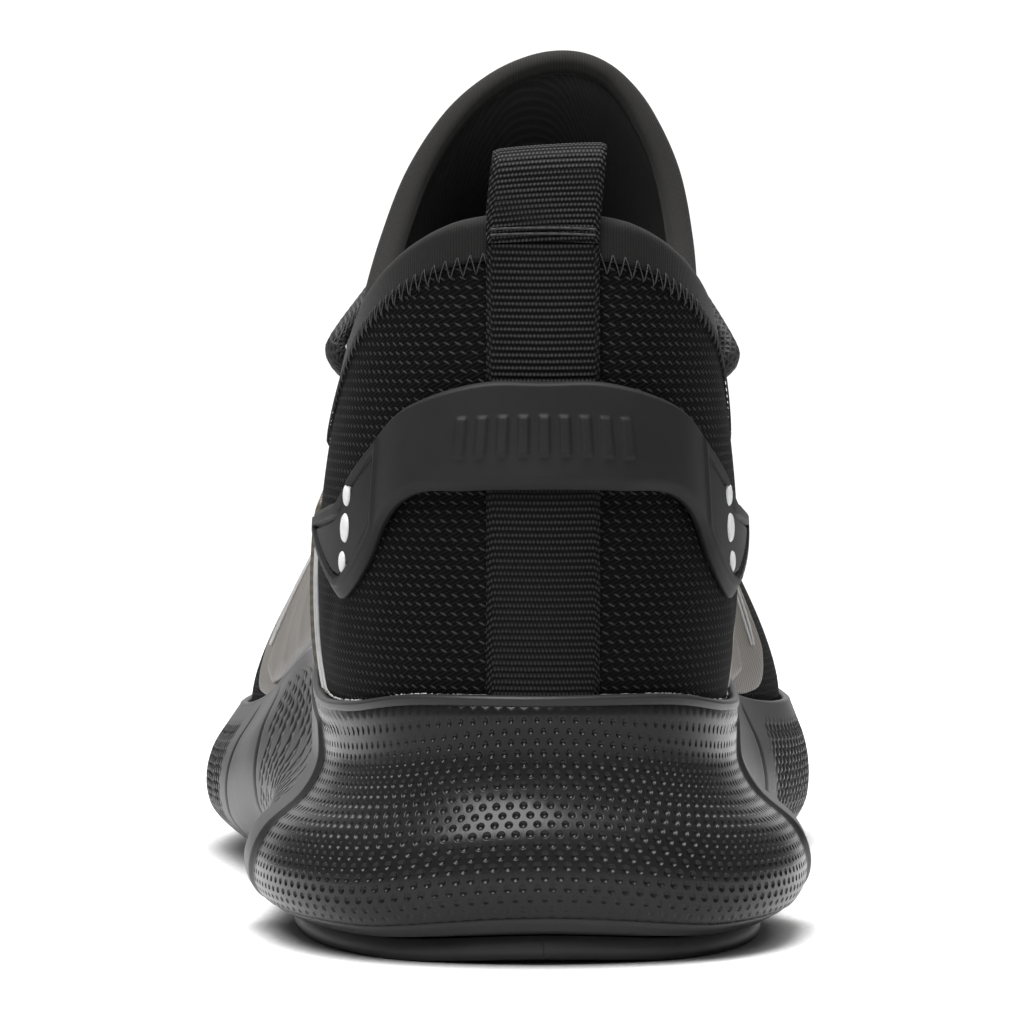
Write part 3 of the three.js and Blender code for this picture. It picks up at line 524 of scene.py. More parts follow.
# Materials: small helpers for their nodes
def calc(tree, operation, *values, clamp=False):
    node = tree.nodes.new("ShaderNodeMath")
    node.operation = operation
    node.use_clamp = clamp
    for socket, value in zip(node.inputs, values):
        if isinstance(value, bpy.types.NodeSocket):
            tree.links.new(value, socket)
        else:
            socket.default_value = value
    return node.outputs[0]


# u and v of the piece's own map, in millimetres
def lengths(tree):
    mapped = tree.nodes.new("ShaderNodeUVMap")
    mapped.uv_map = "UVMap"
    split = tree.nodes.new("ShaderNodeSeparateXYZ")
    tree.links.new(mapped.outputs[0], split.inputs[0])
    return calc(tree, "MULTIPLY", split.outputs[0], 1000), calc(tree, "MULTIPLY", split.outputs[1], 1000)


def objectPlace(tree):
    return tree.nodes.new("ShaderNodeTexCoord").outputs["Object"]


def noise(tree, scale, detail=3, roughness=0.5, place=None):
    node = tree.nodes.new("ShaderNodeTexNoise")
    node.inputs["Scale"].default_value = scale
    node.inputs["Detail"].default_value = detail
    node.inputs["Roughness"].default_value = roughness
    tree.links.new(place or objectPlace(tree), node.inputs["Vector"])
    return node.outputs[0]


def waveOf(tree, length, pitch, shift=0.0):
    turned = calc(tree, "MULTIPLY_ADD", length, 2 * np.pi / pitch, shift)
    return calc(tree, "COSINE", turned)


def ramp(tree, factor, stops):
    node = tree.nodes.new("ShaderNodeValToRGB")
    for stop, (position, colour) in zip(node.color_ramp.elements, stops):
        stop.position = position
        stop.color = (*colour, 1)
    tree.links.new(factor, node.inputs[0])
    return node.outputs[0]


def bump(tree, height, distance, strength=1.0, below=None):
    node = tree.nodes.new("ShaderNodeBump")
    node.inputs["Strength"].default_value = strength
    node.inputs["Distance"].default_value = distance
    tree.links.new(height, node.inputs["Height"])
    if below is not None:
        tree.links.new(below, node.inputs["Normal"])
    return node.outputs[0]


def grey(value, warm=0.0):
    return (value * (1 + warm), value, value * (1 - warm))


def newMaterial(name, colour, roughness, specular=0.5, sheen=0.0, coat=0.0):
    material = bpy.data.materials.new(name)
    material.use_nodes = True
    tree = material.node_tree
    shader = tree.nodes["Principled BSDF"]
    shader.inputs["Base Color"].default_value = (*colour, 1)
    shader.inputs["Roughness"].default_value = roughness
    shader.inputs["Specular IOR Level"].default_value = specular
    shader.inputs["Sheen Weight"].default_value = sheen
    shader.inputs["Sheen Roughness"].default_value = 0.4
    shader.inputs["Coat Weight"].default_value = coat
    return material, tree, shader


def paint(tree, shader, colour=None, roughness=None, normal=None):
    for value, socket in ((colour, "Base Color"), (roughness, "Roughness"), (normal, "Normal")):
        if value is not None:
            tree.links.new(value, shader.inputs[socket])


# Moulded rubber: a fine eroded grain, dusty in its colour
def rubber(name, value, roughness, grain=0.012, specular=0.5):
    material, tree, shader = newMaterial(name, grey(value), roughness, specular)
    fine = noise(tree, 2600, 2, 0.7)
    broad = noise(tree, 60, 4, 0.6)
    colour = ramp(tree, broad, [(0.3, grey(value * 0.8)), (0.7, grey(value * 1.25))])
    rough = calc(tree, "MULTIPLY_ADD", broad, 0.12, roughness - 0.06)
    paint(tree, shader, colour, rough, bump(tree, fine, grain * mm))
    return material


# Open mesh: staggered rows of short slanted threads over a dark ground. A thread is a bell over its cell, long one
# way and narrow the other, turned by slant. The threads' lightness is partly painted highlight, and the dark ground
# is painted shade in the holes.
def openMesh(name, thread, holeShade, pitchU, pitchV, depth, long=0.8, narrow=0.3, slant=0.9):
    material, tree, shader = newMaterial(name, grey(thread), 0.8, 0.05, 0.0)
    u, v = lengths(tree)
    wobble = noise(tree, 160, 2)
    u = calc(tree, "MULTIPLY_ADD", wobble, pitchU * 0.35, u)
    row = calc(tree, "FLOOR", calc(tree, "MULTIPLY", v, 1 / pitchV))
    across = calc(tree, "MULTIPLY_ADD", row, 0.5, calc(tree, "MULTIPLY", u, 1 / pitchU))
    across = calc(tree, "FRACT", across)
    across = calc(tree, "MULTIPLY_ADD", across, pitchU, -pitchU / 2)
    upwards = calc(tree, "FRACT", calc(tree, "MULTIPLY", v, 1 / pitchV))
    upwards = calc(tree, "MULTIPLY_ADD", upwards, pitchV, -pitchV / 2)
    turned = calc(tree, "MULTIPLY", upwards, -np.sin(slant) / long)
    one = calc(tree, "MULTIPLY_ADD", across, np.cos(slant) / long, turned)
    turned = calc(tree, "MULTIPLY", upwards, np.cos(slant) / narrow)
    two = calc(tree, "MULTIPLY_ADD", across, np.sin(slant) / narrow, turned)
    far = calc(tree, "ADD", calc(tree, "MULTIPLY", one, one), calc(tree, "MULTIPLY", two, two))
    level = calc(tree, "SUBTRACT", 1, far, clamp=True)
    fuzz = noise(tree, 1300, 2)
    level = calc(tree, "MULTIPLY", level, calc(tree, "ADD", fuzz, 0.45), clamp=True)
    patches = calc(tree, "MULTIPLY_ADD", noise(tree, 420, 2), 1.3, 0.3)
    level = calc(tree, "MULTIPLY", level, patches, clamp=True)
    # Diagonal streaks over the cells, raised in the bump and lighter in the colour as painted highlights
    between = waveOf(tree, calc(tree, "MULTIPLY_ADD", u, -0.5, v), pitchV / 2)
    between = calc(tree, "MULTIPLY", calc(tree, "MULTIPLY", between, fuzz), 0.28)
    level = calc(tree, "MAXIMUM", level, between, clamp=True)
    # Colour from the relief: painted shade in the holes and painted highlights on the threads
    colour = ramp(tree, level, [(0.05, grey(holeShade)), (0.7, grey(thread))])
    paint(tree, shader, colour, None, bump(tree, level, depth * mm))
    return material


# Fine knit: ribs across the edge and softer courses along it, with a little fuzz
def fineKnit(name, value, pitch, depth, warm=0.02, across=True, sheen=0.04):
    material, tree, shader = newMaterial(name, grey(value, warm), 0.85, 0.15, sheen)
    u, v = lengths(tree)
    if not across:
        u, v = v, u
    wales = waveOf(tree, u, pitch)
    courses = waveOf(tree, v, pitch * 0.8)
    fuzz = noise(tree, 1500, 3, 0.7)
    height = calc(tree, "ADD", calc(tree, "MULTIPLY", wales, 0.5), calc(tree, "MULTIPLY", courses, 0.2))
    height = calc(tree, "ADD", height, calc(tree, "MULTIPLY", fuzz, 0.8))
    level = calc(tree, "MULTIPLY_ADD", height, 0.4, 0.3, clamp=True)
    # Colour follows the relief: painted shade in the valleys and painted highlight on the ribs
    colour = ramp(tree, level, [(0.2, grey(value * 0.5, warm)), (0.85, grey(value * 1.35, warm))])
    paint(tree, shader, colour, None, bump(tree, level, depth * mm))
    return material


# Webbing: rounded weft ribs along u, each a row of small floats that step sideways from rib to rib
def webbing(name, value, ribPitch, floatPitch, depth):
    material, tree, shader = newMaterial(name, grey(value), 0.6, 0.06, 0.0)
    u, v = lengths(tree)
    weft = calc(tree, "ABSOLUTE", calc(tree, "COSINE", calc(tree, "MULTIPLY", u, np.pi / ribPitch)))
    rib = calc(tree, "FLOOR", calc(tree, "MULTIPLY_ADD", u, 1 / ribPitch, 0.5))
    step = calc(tree, "MULTIPLY", rib, np.pi)
    turned = calc(tree, "MULTIPLY", v, 2 * np.pi / floatPitch)
    floats = calc(tree, "COSINE", calc(tree, "ADD", turned, step))
    fuzz = noise(tree, 1800, 2)
    height = calc(tree, "MULTIPLY", weft, calc(tree, "MULTIPLY_ADD", floats, 0.22, 0.75))
    height = calc(tree, "MULTIPLY_ADD", fuzz, 0.2, height)
    level = calc(tree, "MULTIPLY_ADD", height, 1.1, -0.15, clamp=True)
    # Colour follows the ribs' height: painted shade deep in the valleys and painted highlight on the crests
    colour = ramp(tree, level, [(0.45, grey(value * 0.08)), (0.9, grey(value * 2.0))])
    paint(tree, shader, colour, None, bump(tree, level, depth * mm))
    return material


# Braided lace: two families of slanted floats that cross
def braid(name, value, pitch, depth):
    material, tree, shader = newMaterial(name, grey(value), 0.6, 0.25, 0.03)
    u, v = lengths(tree)
    one = waveOf(tree, calc(tree, "ADD", u, v), pitch)
    two = waveOf(tree, calc(tree, "SUBTRACT", u, v), pitch)
    height = calc(tree, "MAXIMUM", one, two)
    fine = waveOf(tree, v, pitch * 0.33)
    height = calc(tree, "ADD", height, calc(tree, "MULTIPLY", fine, 0.15))
    level = calc(tree, "MULTIPLY_ADD", height, 0.4, 0.5, clamp=True)
    # Colour follows the relief: painted shade where the floats dip and painted highlight on their tops
    colour = ramp(tree, level, [(0.2, grey(value * 0.3)), (0.9, grey(value * 1.5))])
    paint(tree, shader, colour, None, bump(tree, level, depth * mm))
    return material


# Satin film: fine slanted ribs pressed into a smooth skin, with slow changes in gloss
def satinFilm(name, value, pitch, depth, roughness, warm=0.05, specular=0.6):
    material, tree, shader = newMaterial(name, grey(value, warm), roughness, specular)
    u, v = lengths(tree)
    slanted = calc(tree, "ADD", u, calc(tree, "MULTIPLY", v, 0.45))
    lines = waveOf(tree, slanted, pitch)
    level = calc(tree, "MULTIPLY_ADD", lines, 0.5, 0.5, clamp=True)
    broad = noise(tree, 40, 3)
    # Colour follows the pressed lines: painted shade in their grooves and painted highlight on the ridges between
    colour = ramp(tree, level, [(0.1, grey(value * 0.75, warm)), (0.9, grey(value * 1.15, warm))])
    rough = calc(tree, "MULTIPLY_ADD", broad, 0.15, roughness - 0.07)
    paint(tree, shader, colour, rough, bump(tree, level, depth * mm))
    return material


def plainFinish(name, value, roughness, warm=0.0, grain=0.02, specular=0.5):
    material, tree, shader = newMaterial(name, grey(value, warm), roughness, specular)
    fine = noise(tree, 900, 3, 0.6)
    colour = ramp(tree, fine, [(0.3, grey(value * 0.88, warm)), (0.7, grey(value * 1.08, warm))])
    paint(tree, shader, colour, None, bump(tree, fine, grain * mm))
    return material


finish = {
    "soleRubber": rubber("soleRubber", 0.007, 0.27, 0.01, 0.21),
    "sideRubber": rubber("sideRubber", 0.0135, 0.42, 0.014, 0.25),
    "treadRubber": rubber("treadRubber", 0.02, 0.5, 0.01, 0.3),
    "strapRubber": rubber("strapRubber", 0.009, 0.58, 0.012, 0.16),
    # The second value of each open mesh is the painted shade in its holes
    "heelMesh": openMesh("heelMesh", 0.026, 0.0012, 1.85, 1.45, 0.35, 0.75, 0.24, 0.45),
    "liningMesh": openMesh("liningMesh", 0.018, 0.012, 1.3, 0.9, 0.1),
    "collarKnit": fineKnit("collarKnit", 0.008, 0.48, 0.1),
    "tongueKnit": fineKnit("tongueKnit", 0.0095, 0.5, 0.1, 0.05),
    "footCloth": fineKnit("footCloth", 0.01, 0.9, 0.1),
    "heelWeb": webbing("heelWeb", 0.0105, 1.04, 0.6, 0.2),
    "loopWeb": webbing("loopWeb", 0.017, 0.9, 0.6, 0.2),
    "laceBraid": braid("laceBraid", 0.014, 1.5, 0.2),
    "sideFilm": satinFilm("sideFilm", 0.063, 1.3, 0.06, 0.42, 0.17, 0.3),
    "eyestayFilm": satinFilm("eyestayFilm", 0.014, 0.9, 0.03, 0.45, 0.02),
    "piping": plainFinish("piping", 0.3, 0.4),
    "inlay": plainFinish("inlay", 0.5, 0.4),
    "glue": plainFinish("glue", 0.35, 0.5, 0.02, 0.1),
    "thread": plainFinish("thread", 0.008, 0.6),
    "floor": plainFinish("floor", 0.5, 0.8, 0, 0.0, 0.1),
}
print("materials made")

# Sole

soleLook = {
    "levels": 52,
    "turnSteps": (  # start, end and step of the grid in stations: coarse behind the dimpled cup, fine over relief
        (0, 0.27, 0.012),
        (0.27, 0.345, 0.0011),
        (0.345, 0.455, 0.0006),
        (0.455, 0.62, 0.0009),
    ),
    "toeTurns": (0.62, 176),
    "sideHeight": 36.0,  # height of the side that the relief is laid out on
    "rimCrest": 0.7,
    "ridgeProud": 0.9,
    "waistRecess": 1.1,
    "beadProud": 0.45,  # raised line in front of the smooth band
    "beadWidth": 0.0032,
    "beadAhead": 0.008,
    "lines": ((0.462, 0.012), (0.52, -0.01)),  # station and lean of the grooves that frame the smooth panel
    "lineDepth": 0.5,
    "lineWidth": 0.0015,
    "strokeStart": 0.022,  # ahead of the band
    "strokeEnd": 0.452,
    "strokeDepth": 0.45,
    "strokePitch": (6.4, 2.4),
    "strokeSwing": 4.4,
    "strokeWidth": 1.1,
    "strokeTurn": 0.74,  # share of its pitch over which a zigzag line moves ahead
    "hatchStart": 0.54,
    "hatchEnd": 0.97,
    "hatchPitch": (2.6, 2.2),
    "hatchDash": (0.35, 0.6),  # half its length, and half its width
    "hatchDepth": 0.65,
    "cupRecess": 1.2,
    "cupLow": 0.03,
    "cupHigh": 0.985,
}


# Where a point of the side lies: its grid turn moved towards the heel at half height, as the band is bowed, and
# towards the toe at the rim, where the band ends in a tip
def bowed(grid, level):
    q, side = stationOf(grid)
    middle = (place["ridgeStart"] + place["ridgeEnd"]) / 2
    near = smooth(1 - np.abs(q - middle) / place["ridgeBowReach"])
    tip = place["ridgeLean"] * smooth((level - place["ridgeLeanStart"]) / (1 - place["ridgeLeanStart"]))
    return grid + side * near * (tip - place["ridgeBow"] * np.sin(np.pi * level) / 2)


# Side of the sole: between the rim's outline and the widest one by the profile, at a level from bottom to rim
def soleSide(grid, level):
    grid, level = np.broadcast_arrays(np.asarray(grid, float), np.asarray(level, float))
    turn = bowed(grid, level)
    q, _ = stationOf(turn)
    share = mix(foreSide(level), heelSide(level), heelness(q))
    made = mix(lastOutline(turn, size["cupGap"] + size["rimWall"]), soleOutline(turn), share[..., None])
    bottom = underside(made[..., 1]) + size["outsoleThickness"] + size["gap"]
    made[..., 2] = mix(bottom, rimHeight(turn), level)
    return made


# Zigzag lines up the waist: each moves ahead over most of its pitch, then back over the rest, where it is broken
def strokes(s, z):
    pitch, high = soleLook["strokePitch"]
    t = (z / high) % 1
    turnAt = soleLook["strokeTurn"]
    ahead = np.where(t < turnAt, t / turnAt, (1 - t) / (1 - turnAt)) - 0.5
    across = ((s - soleLook["strokeSwing"] * ahead) / pitch) % 1 - 0.5
    line = smooth((soleLook["strokeWidth"] / 2 - np.abs(across) * pitch) / 0.3 + 0.5)
    return line * smooth((np.abs(t - (1 + turnAt) / 2) - 0.07) / 0.04)


# Dashes in staggered rows: 1 on a dash and 0 off it, from the distance to a short upright line in each cell
def dashes(s, z, pitch, halfLength, halfWidth):
    row = np.floor(z / pitch[1])
    across = ((s / pitch[0] + 0.5 * (row % 2)) % 1 - 0.5) * pitch[0]
    upwards = ((z / pitch[1]) % 1 - 0.5) * pitch[1]
    distance = np.hypot(across, upwards - np.clip(upwards, -halfLength, halfLength))
    return smooth((halfWidth - distance) / (0.7 * halfWidth) + 0.5)


# How far the side stands out of its plain shape: the band, its bead, the recessed waist with its zigzag lines, the
# grooves that frame the smooth panel, and the hatched forefoot
def soleRelief(grid, level):
    q, _ = stationOf(grid)
    held = np.sqrt(np.clip(np.sin(np.pi * np.clip(level, 0, 1)), 0, 1))
    ridge = band(q, place["ridgeStart"], place["ridgeEnd"], 0.006)
    waist = smooth((q - place["ridgeEnd"]) / 0.008 + 0.5) * smooth((place["foreEdge"] - q) / 0.08 + 0.5)
    made = ridge * soleLook["ridgeProud"] - waist * soleLook["waistRecess"]
    bead = np.exp(-(((q - place["ridgeEnd"] - soleLook["beadAhead"]) / soleLook["beadWidth"]) ** 2))
    made = made + bead * soleLook["beadProud"]
    s = size["soleLength"] * (1 - np.cos(np.pi * q)) / 2
    z = level * soleLook["sideHeight"]
    inWaist = band(q, place["ridgeEnd"] + soleLook["strokeStart"], soleLook["strokeEnd"], 0.008)
    inWaist = inWaist * band(level, 0.2, 0.9, 0.05)
    made = made - inWaist * soleLook["strokeDepth"] * strokes(s, z)
    for at, lean in soleLook["lines"]:
        line = np.exp(-(((q - at - lean * (level - 0.5)) / soleLook["lineWidth"]) ** 2))
        made = made - line * soleLook["lineDepth"] * band(level, 0.06, 0.95, 0.1)
    fore = band(q, soleLook["hatchStart"], soleLook["hatchEnd"], 0.015) * band(level, 0.12, 0.86, 0.08)
    made = made - fore * soleLook["hatchDepth"] * dashes(s, z, soleLook["hatchPitch"], *soleLook["hatchDash"])
    return made * held


def soleShape(grid, level, extra=0.0):
    grid, level = np.broadcast_arrays(np.asarray(grid, float), np.asarray(level, float))
    out = soleRelief(grid, level) + extra
    return soleSide(grid, level) + outlineNormal(bowed(grid, level)) * out[..., None]


# Grid turns of the sole, closer together where the side has fine relief
def soleTurns():
    start, count = soleLook["toeTurns"]
    pieces = [np.arange(*steps) for steps in soleLook["turnSteps"]]
    q = np.concatenate([*pieces, np.linspace(start, 1, count)])
    return np.concatenate([q / 2, 1 - q[1:-1][::-1] / 2])


# Midsole: up its side, over the rounded rim and down inside to the foot bed, its heel set back behind the cup
def buildMidsole():
    turns = soleTurns()[:, None]
    levels = 0.5 - 0.5 * np.cos(np.pi * np.linspace(0.02, 1, soleLook["levels"]))
    levels = (levels - levels[0]) / (levels[-1] - levels[0])
    q, _ = stationOf(turns)
    behind = smooth((place["ridgeStart"] - 0.004 - q) / 0.006)
    setBack = behind * band(levels[None], soleLook["cupLow"] + 0.02, soleLook["cupHigh"] - 0.02, 0.03)
    side = soleShape(turns, levels[None], -setBack * soleLook["cupRecess"])
    at = bowed(turns[:, 0], 1.0)
    rim = rimHeight(at)
    outer, inner = side[:, -1], lastOutline(at, size["cupGap"])
    inner[:, 2] = rim
    crest = []
    for angle in np.linspace(0.15, 0.85, 5) * np.pi:
        over = mix(outer, inner, (1 - np.cos(angle)) / 2)
        over[:, 2] += soleLook["rimCrest"] * np.sin(angle)
        crest.append(over[:, None])
    low = inner.copy()
    low[:, 2] = footBed(inner[:, 1])
    rings = np.concatenate([side, *crest, inner[:, None], mix(inner, low, 0.5)[:, None], low[:, None]], 1)
    made = ringSolid("midsoleBody", np.swapaxes(rings, 0, 1), finish["sideRubber"], pole=1)
    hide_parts("midsole")


dimples = {
    "pitch": 2.3,
    "rows": 21,
    "radius": 0.7,
    "depth": 0.45,
    "sides": 12,
    "rings": (0.5, 0.85, 1.0, 1.08),  # radii of a dimple's rings, as shares of its radius
    "skirt": 1.1,
    "sunk": 0.35,  # how far the cup's upper and lower edge sink into the sole
    "sideDrop": 0.07,  # how far the upper rows fall towards the sides, as a level
    "sideDropRun": 35.0,
}


# Heel cup: staggered brick cells on the side of the sole. Each has a round hollow, a paraboloid that is smaller and
# flatter near the cup's edges, and neighbouring cells share the six points of their borders.
def buildHeelCup():
    edge = (place["ridgeStart"] - 0.003) / 2
    fine = np.linspace(-edge, edge, 801)
    base = soleSide(fine, 0.3)
    run = np.concatenate([[0], np.cumsum(np.linalg.norm(np.diff(base, axis=0), axis=1))])
    profile = np.linspace(soleLook["cupLow"], soleLook["cupHigh"], 400)
    climb = soleSide(0.0, profile)
    climb = np.concatenate([[0], np.cumsum(np.linalg.norm(np.diff(climb, axis=0), axis=1))])
    rows = dimples["rows"]
    count = int(round(run[-1] / dimples["pitch"]))
    stepU, stepV = run[-1] / count, climb[-1] / rows

    def placeOf(x, y):
        turn = np.interp(x, run, fine)
        level = np.interp(y, climb, profile)
        share = y / climb[-1]
        spread = smooth(np.abs(x - run[-1] / 2) / dimples["sideDropRun"])
        fall = share * (1 - smooth((share - 0.86) / 0.14))
        return turn, level - dimples["sideDrop"] * spread * fall

    def surface(x, y, out):
        turn, level = placeOf(x, y)
        out = out - dimples["sunk"] * (1 - smooth(np.minimum(y, climb[-1] - y) / stepV))
        normal = normalOf(soleSide, turn, level, 0, 1, 0.003)
        return soleSide(turn, level) + normal * out[..., None]

    halves = np.arange(2 * count + 1) * stepU / 2
    lines = np.arange(rows + 1) * stepV
    border = np.stack(np.meshgrid(halves, lines), -1)
    borderPoints = surface(border[..., 0], border[..., 1], np.zeros(border.shape[:2])).reshape(-1, 3)
    width = 2 * count + 1

    cells = []
    for row in range(rows):
        middles = np.arange(1 + row % 2, 2 * count - row % 2, 2)
        cells.append(np.stack([middles, np.full(len(middles), row)], -1))
    cells = np.concatenate(cells)
    x = cells[:, 0] * stepU / 2
    y = (cells[:, 1] + 0.5) * stepV
    share = y / climb[-1]
    toEdge = np.abs(x / run[-1] - 0.5) * 2
    grow = (0.72 + 0.28 * smooth((0.95 - share) / 0.25)) * (0.7 + 0.3 * smooth(share / 0.16))
    grow = grow * (1 - 0.22 * smooth((toEdge - 0.55) / 0.45))
    shown = band(share, 0.035, 0.945, 0.02)
    radius = dimples["radius"] * np.maximum(grow * shown, 0.25)
    depth = dimples["depth"] * shown * grow * mix(0.45, 1, smooth(share / 0.3))
    angles = np.arange(dimples["sides"]) * 2 * np.pi / dimples["sides"]
    inside = [surface(x, y, -depth)[:, None]]
    for ring in dimples["rings"]:
        rx = x[:, None] + radius[:, None] * ring * np.cos(angles)
        ry = y[:, None] + radius[:, None] * ring * np.sin(angles)
        hollow = np.clip(1 - ring**2, 0, 1)
        inside.append(surface(rx, ry, -depth[:, None] * hollow * np.ones_like(rx)))
    inside = np.concatenate(inside, 1)
    perCell = inside.shape[1]
    points = np.concatenate([borderPoints, inside.reshape(-1, 3)])

    sides = dimples["sides"]
    start = len(borderPoints) + np.arange(len(cells)) * perCell
    k = np.arange(sides)
    after = (k + 1) % sides
    fan = np.stack([np.zeros_like(k), 1 + k, 1 + after], -1)
    inwards = 1 + np.arange(len(dimples["rings"]) - 1)[:, None] * sides
    outwards = inwards + sides
    bands = np.stack([inwards + k, outwards + k, outwards + after, inwards + after], -1)
    tris = (fan[None] + start[:, None, None]).reshape(-1, 3)
    quads = (bands.reshape(-1, 4)[None] + start[:, None, None]).reshape(-1, 4)
    low = cells[:, 1] * width + cells[:, 0]
    high = low + width
    corners = np.stack([high + 1, high, high - 1, low - 1, low, low + 1], -1)
    last = 1 + (len(dimples["rings"]) - 1) * sides
    outer = []
    for j in range(6):
        a = start + last + (2 * j + 1) % sides
        b = start + last + (2 * j + 2) % sides
        c = start + last + (2 * j + 3) % sides
        p, n = corners[:, j], corners[:, (j + 1) % 6]
        outer += [np.stack([a, p, b], -1), np.stack([p, n, b], -1), np.stack([b, n, c], -1)]
    tris = np.concatenate([tris, *outer])
    odd = np.arange(1, rows, 2) * width
    ends = [np.stack([e, e + 1, e + 1 + width, e + width], -1) for e in (odd, odd + width - 2)]

    sunk = np.full(border.shape[:2], -dimples["skirt"])
    behind = surface(border[..., 0], border[..., 1], sunk).reshape(-1, 3)
    shift = len(points)
    points = np.concatenate([points, behind])
    foot = np.arange(width)
    left = np.arange(rows + 1) * width
    rim = np.concatenate([foot, (left + width - 1)[1:], (foot + rows * width)[::-1][1:], left[::-1][1:]])
    a, b = rim[:-1], rim[1:]
    skirt = np.stack([b, a, a + shift, b + shift], -1)
    back = gridFaces(rows + 1, width)[:, ::-1] + shift
    quads = np.concatenate([quads, *ends, skirt, back])
    addMesh("heelCup", points, [tris, quads], finish["soleRubber"])


treadLook = {
    "inset": 2.0,
    "bevel": 1.1,
    "grooveDepth": 1.8,
    "grooveWidth": 4.0,
    "grooveAngle": 0.35,
    "pitch": 17.0,
    "zones": ((0.08, 0.26), (0.54, 0.74)),
    "barPitch": 3.4,
    "barDepth": 0.5,
    "along": 380,
    "across": 82,
}


# Depth of the tread's grooves at points of its underside: chevrons in the two flat zones, and fine bars between
def treadDepth(x, y, half):
    reach = size["ballWidth"] / 2
    depth = np.zeros_like(x)
    for low, high in treadLook["zones"]:
        gaps = max(1, round((high - low) * size["soleLength"] / treadLook["pitch"]))
        for i in range(gaps + 1):
            at = mix(low, high, i / gaps) * size["soleLength"] - size["heelSetback"]
            across = np.abs(x) - (reach + treadLook["grooveWidth"]) / 2
            off = (y - at) * np.cos(treadLook["grooveAngle"]) - across * np.sin(treadLook["grooveAngle"])
            wall = smooth((treadLook["grooveWidth"] / 2 - np.abs(off)) / 0.5 + 0.5)
            depth = np.maximum(depth, wall * smooth((np.abs(x) - 2) / 0.6))
    slanted = y - treadLook["grooveAngle"] * np.abs(x)
    fine = smooth((np.cos(2 * np.pi * slanted / treadLook["barPitch"]) - 0.45) / 0.3)
    fine = fine * smooth((np.abs(x) - 5) / 1) * smooth((half - 4 - np.abs(x)) / 1)
    return treadLook["grooveDepth"] * depth + treadLook["barDepth"] * fine * (1 - depth)


def treadOutline(turn, inset):
    q, _ = stationOf(turn)
    share = mix(sideProfile["fore"][0], sideProfile["heel"][0], heelness(q))
    base = mix(lastOutline(turn, size["cupGap"] + size["rimWall"]), soleOutline(turn), share[..., None])
    return base - outlineNormal(turn) * inset


# Tread plate: sections across the sole, with a grooved bottom and a rounded edge on each side
def buildOutsole():
    q = 0.5 - 0.5 * np.cos(np.pi * np.linspace(0.004, 0.996, treadLook["along"]))
    q = mix(np.linspace(0, 1, treadLook["along"]), q, 0.35)
    edges = {}
    for key, inset in (("in", treadLook["inset"] + treadLook["bevel"]), ("out", treadLook["inset"])):
        edges[key] = (treadOutline(1 - q / 2, inset), treadOutline(q / 2, inset))
    a = np.linspace(0, 1, treadLook["across"])
    left, right = edges["in"]
    flat = mix(left[:, None], right[:, None], a[None, :, None])
    half = np.abs(right[:, 0] - left[:, 0])[:, None] / 2
    middle = (right[:, 0] + left[:, 0])[:, None] / 2
    taper = np.clip(half / 12, 0, 1) * smooth(np.minimum(a, 1 - a)[None] * 2 * half / 1.5)
    flat[..., 2] = underside(flat[..., 1]) + treadDepth(flat[..., 0] - middle, flat[..., 1], half) * taper
    parts = [flat]
    for side in (1, 0):
        inner, outer = edges["in"][side], edges["out"][side]
        steps = [0.35, 0.7, 1.0] if side else [1.0, 0.7, 0.35]
        rounded = []
        for t in steps:
            curve = mix(inner, outer, np.sin(t * np.pi / 2))
            curve[:, 2] = underside(curve[:, 1]) + (1 - np.cos(t * np.pi / 2)) * treadLook["bevel"]
            rounded.append(curve[:, None])
        topEdge = outer.copy()
        topEdge[:, 2] = underside(outer[:, 1]) + size["outsoleThickness"]
        parts += [*rounded, topEdge[:, None]] if side else [topEdge[:, None], *rounded]
    rings = np.concatenate(parts, 1)
    made = mergeClose(ringSolid("outsoleTread", rings, finish["treadRubber"]))
    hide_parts("outsole")


insoleLook = {"thickness": 4.0, "cupped": 0.48, "edge": 0.8}


# Insole: a thin plate over the foot bed, its edge rounded and turned up a little all round
def buildInsole():
    q = np.linspace(0, 1, 120)
    inset = -size["upperWall"] - size["gap"]
    left, right = lastOutline(1 - q / 2, inset), lastOutline(q / 2, inset)
    a = np.linspace(0, 1, 26)
    a = a - 0.12 * np.sin(2 * np.pi * a)
    sheet = mix(left[:, None], right[:, None], a[None, :, None])
    toSide = np.abs(2 * a[None] - 1)
    low, high = sheet.copy(), sheet.copy()
    bed = footBed(sheet[..., 1]) + size["gap"]
    low[..., 2] = bed
    edge = insoleLook["edge"] * smooth((toSide - 0.93) / 0.07)
    high[..., 2] = bed + insoleLook["thickness"] + insoleLook["cupped"] * (toSide**4 - 0.6) - edge
    rings = np.concatenate([low, high[:, ::-1]], 1)
    made = mergeClose(ringSolid("sockliner", rings, finish["footCloth"]))
    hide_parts("insole")


buildMidsole()
buildHeelCup()
buildOutsole()
buildInsole()
print("sole made")

# Upper

upperLook = {
    "turns": 420,
    "rows": 60,
    "liningRows": 36,
    "hiddenRows": 16,
    "crown": (0.4, 0.5),  # rise of the rounded top edge of the knit and of the lining
    "shell": 1.0,  # thickness of the outer knit; the lining fills the rest of the wall
    "between": 0.15,
    "bindingOut": 5.2,  # how far the collar binding reaches down outside and inside
    "bindingIn": 9.0,
    "bindingWall": 0.32,
    "bindingEnd": 0.404,
    "bindingCrown": 0.75,
    "zigzagTop": 3.9,
    "zigzagFoot": 7.2,
    "zigzagPitch": 2.0,
    "threadWidth": 0.22,
}

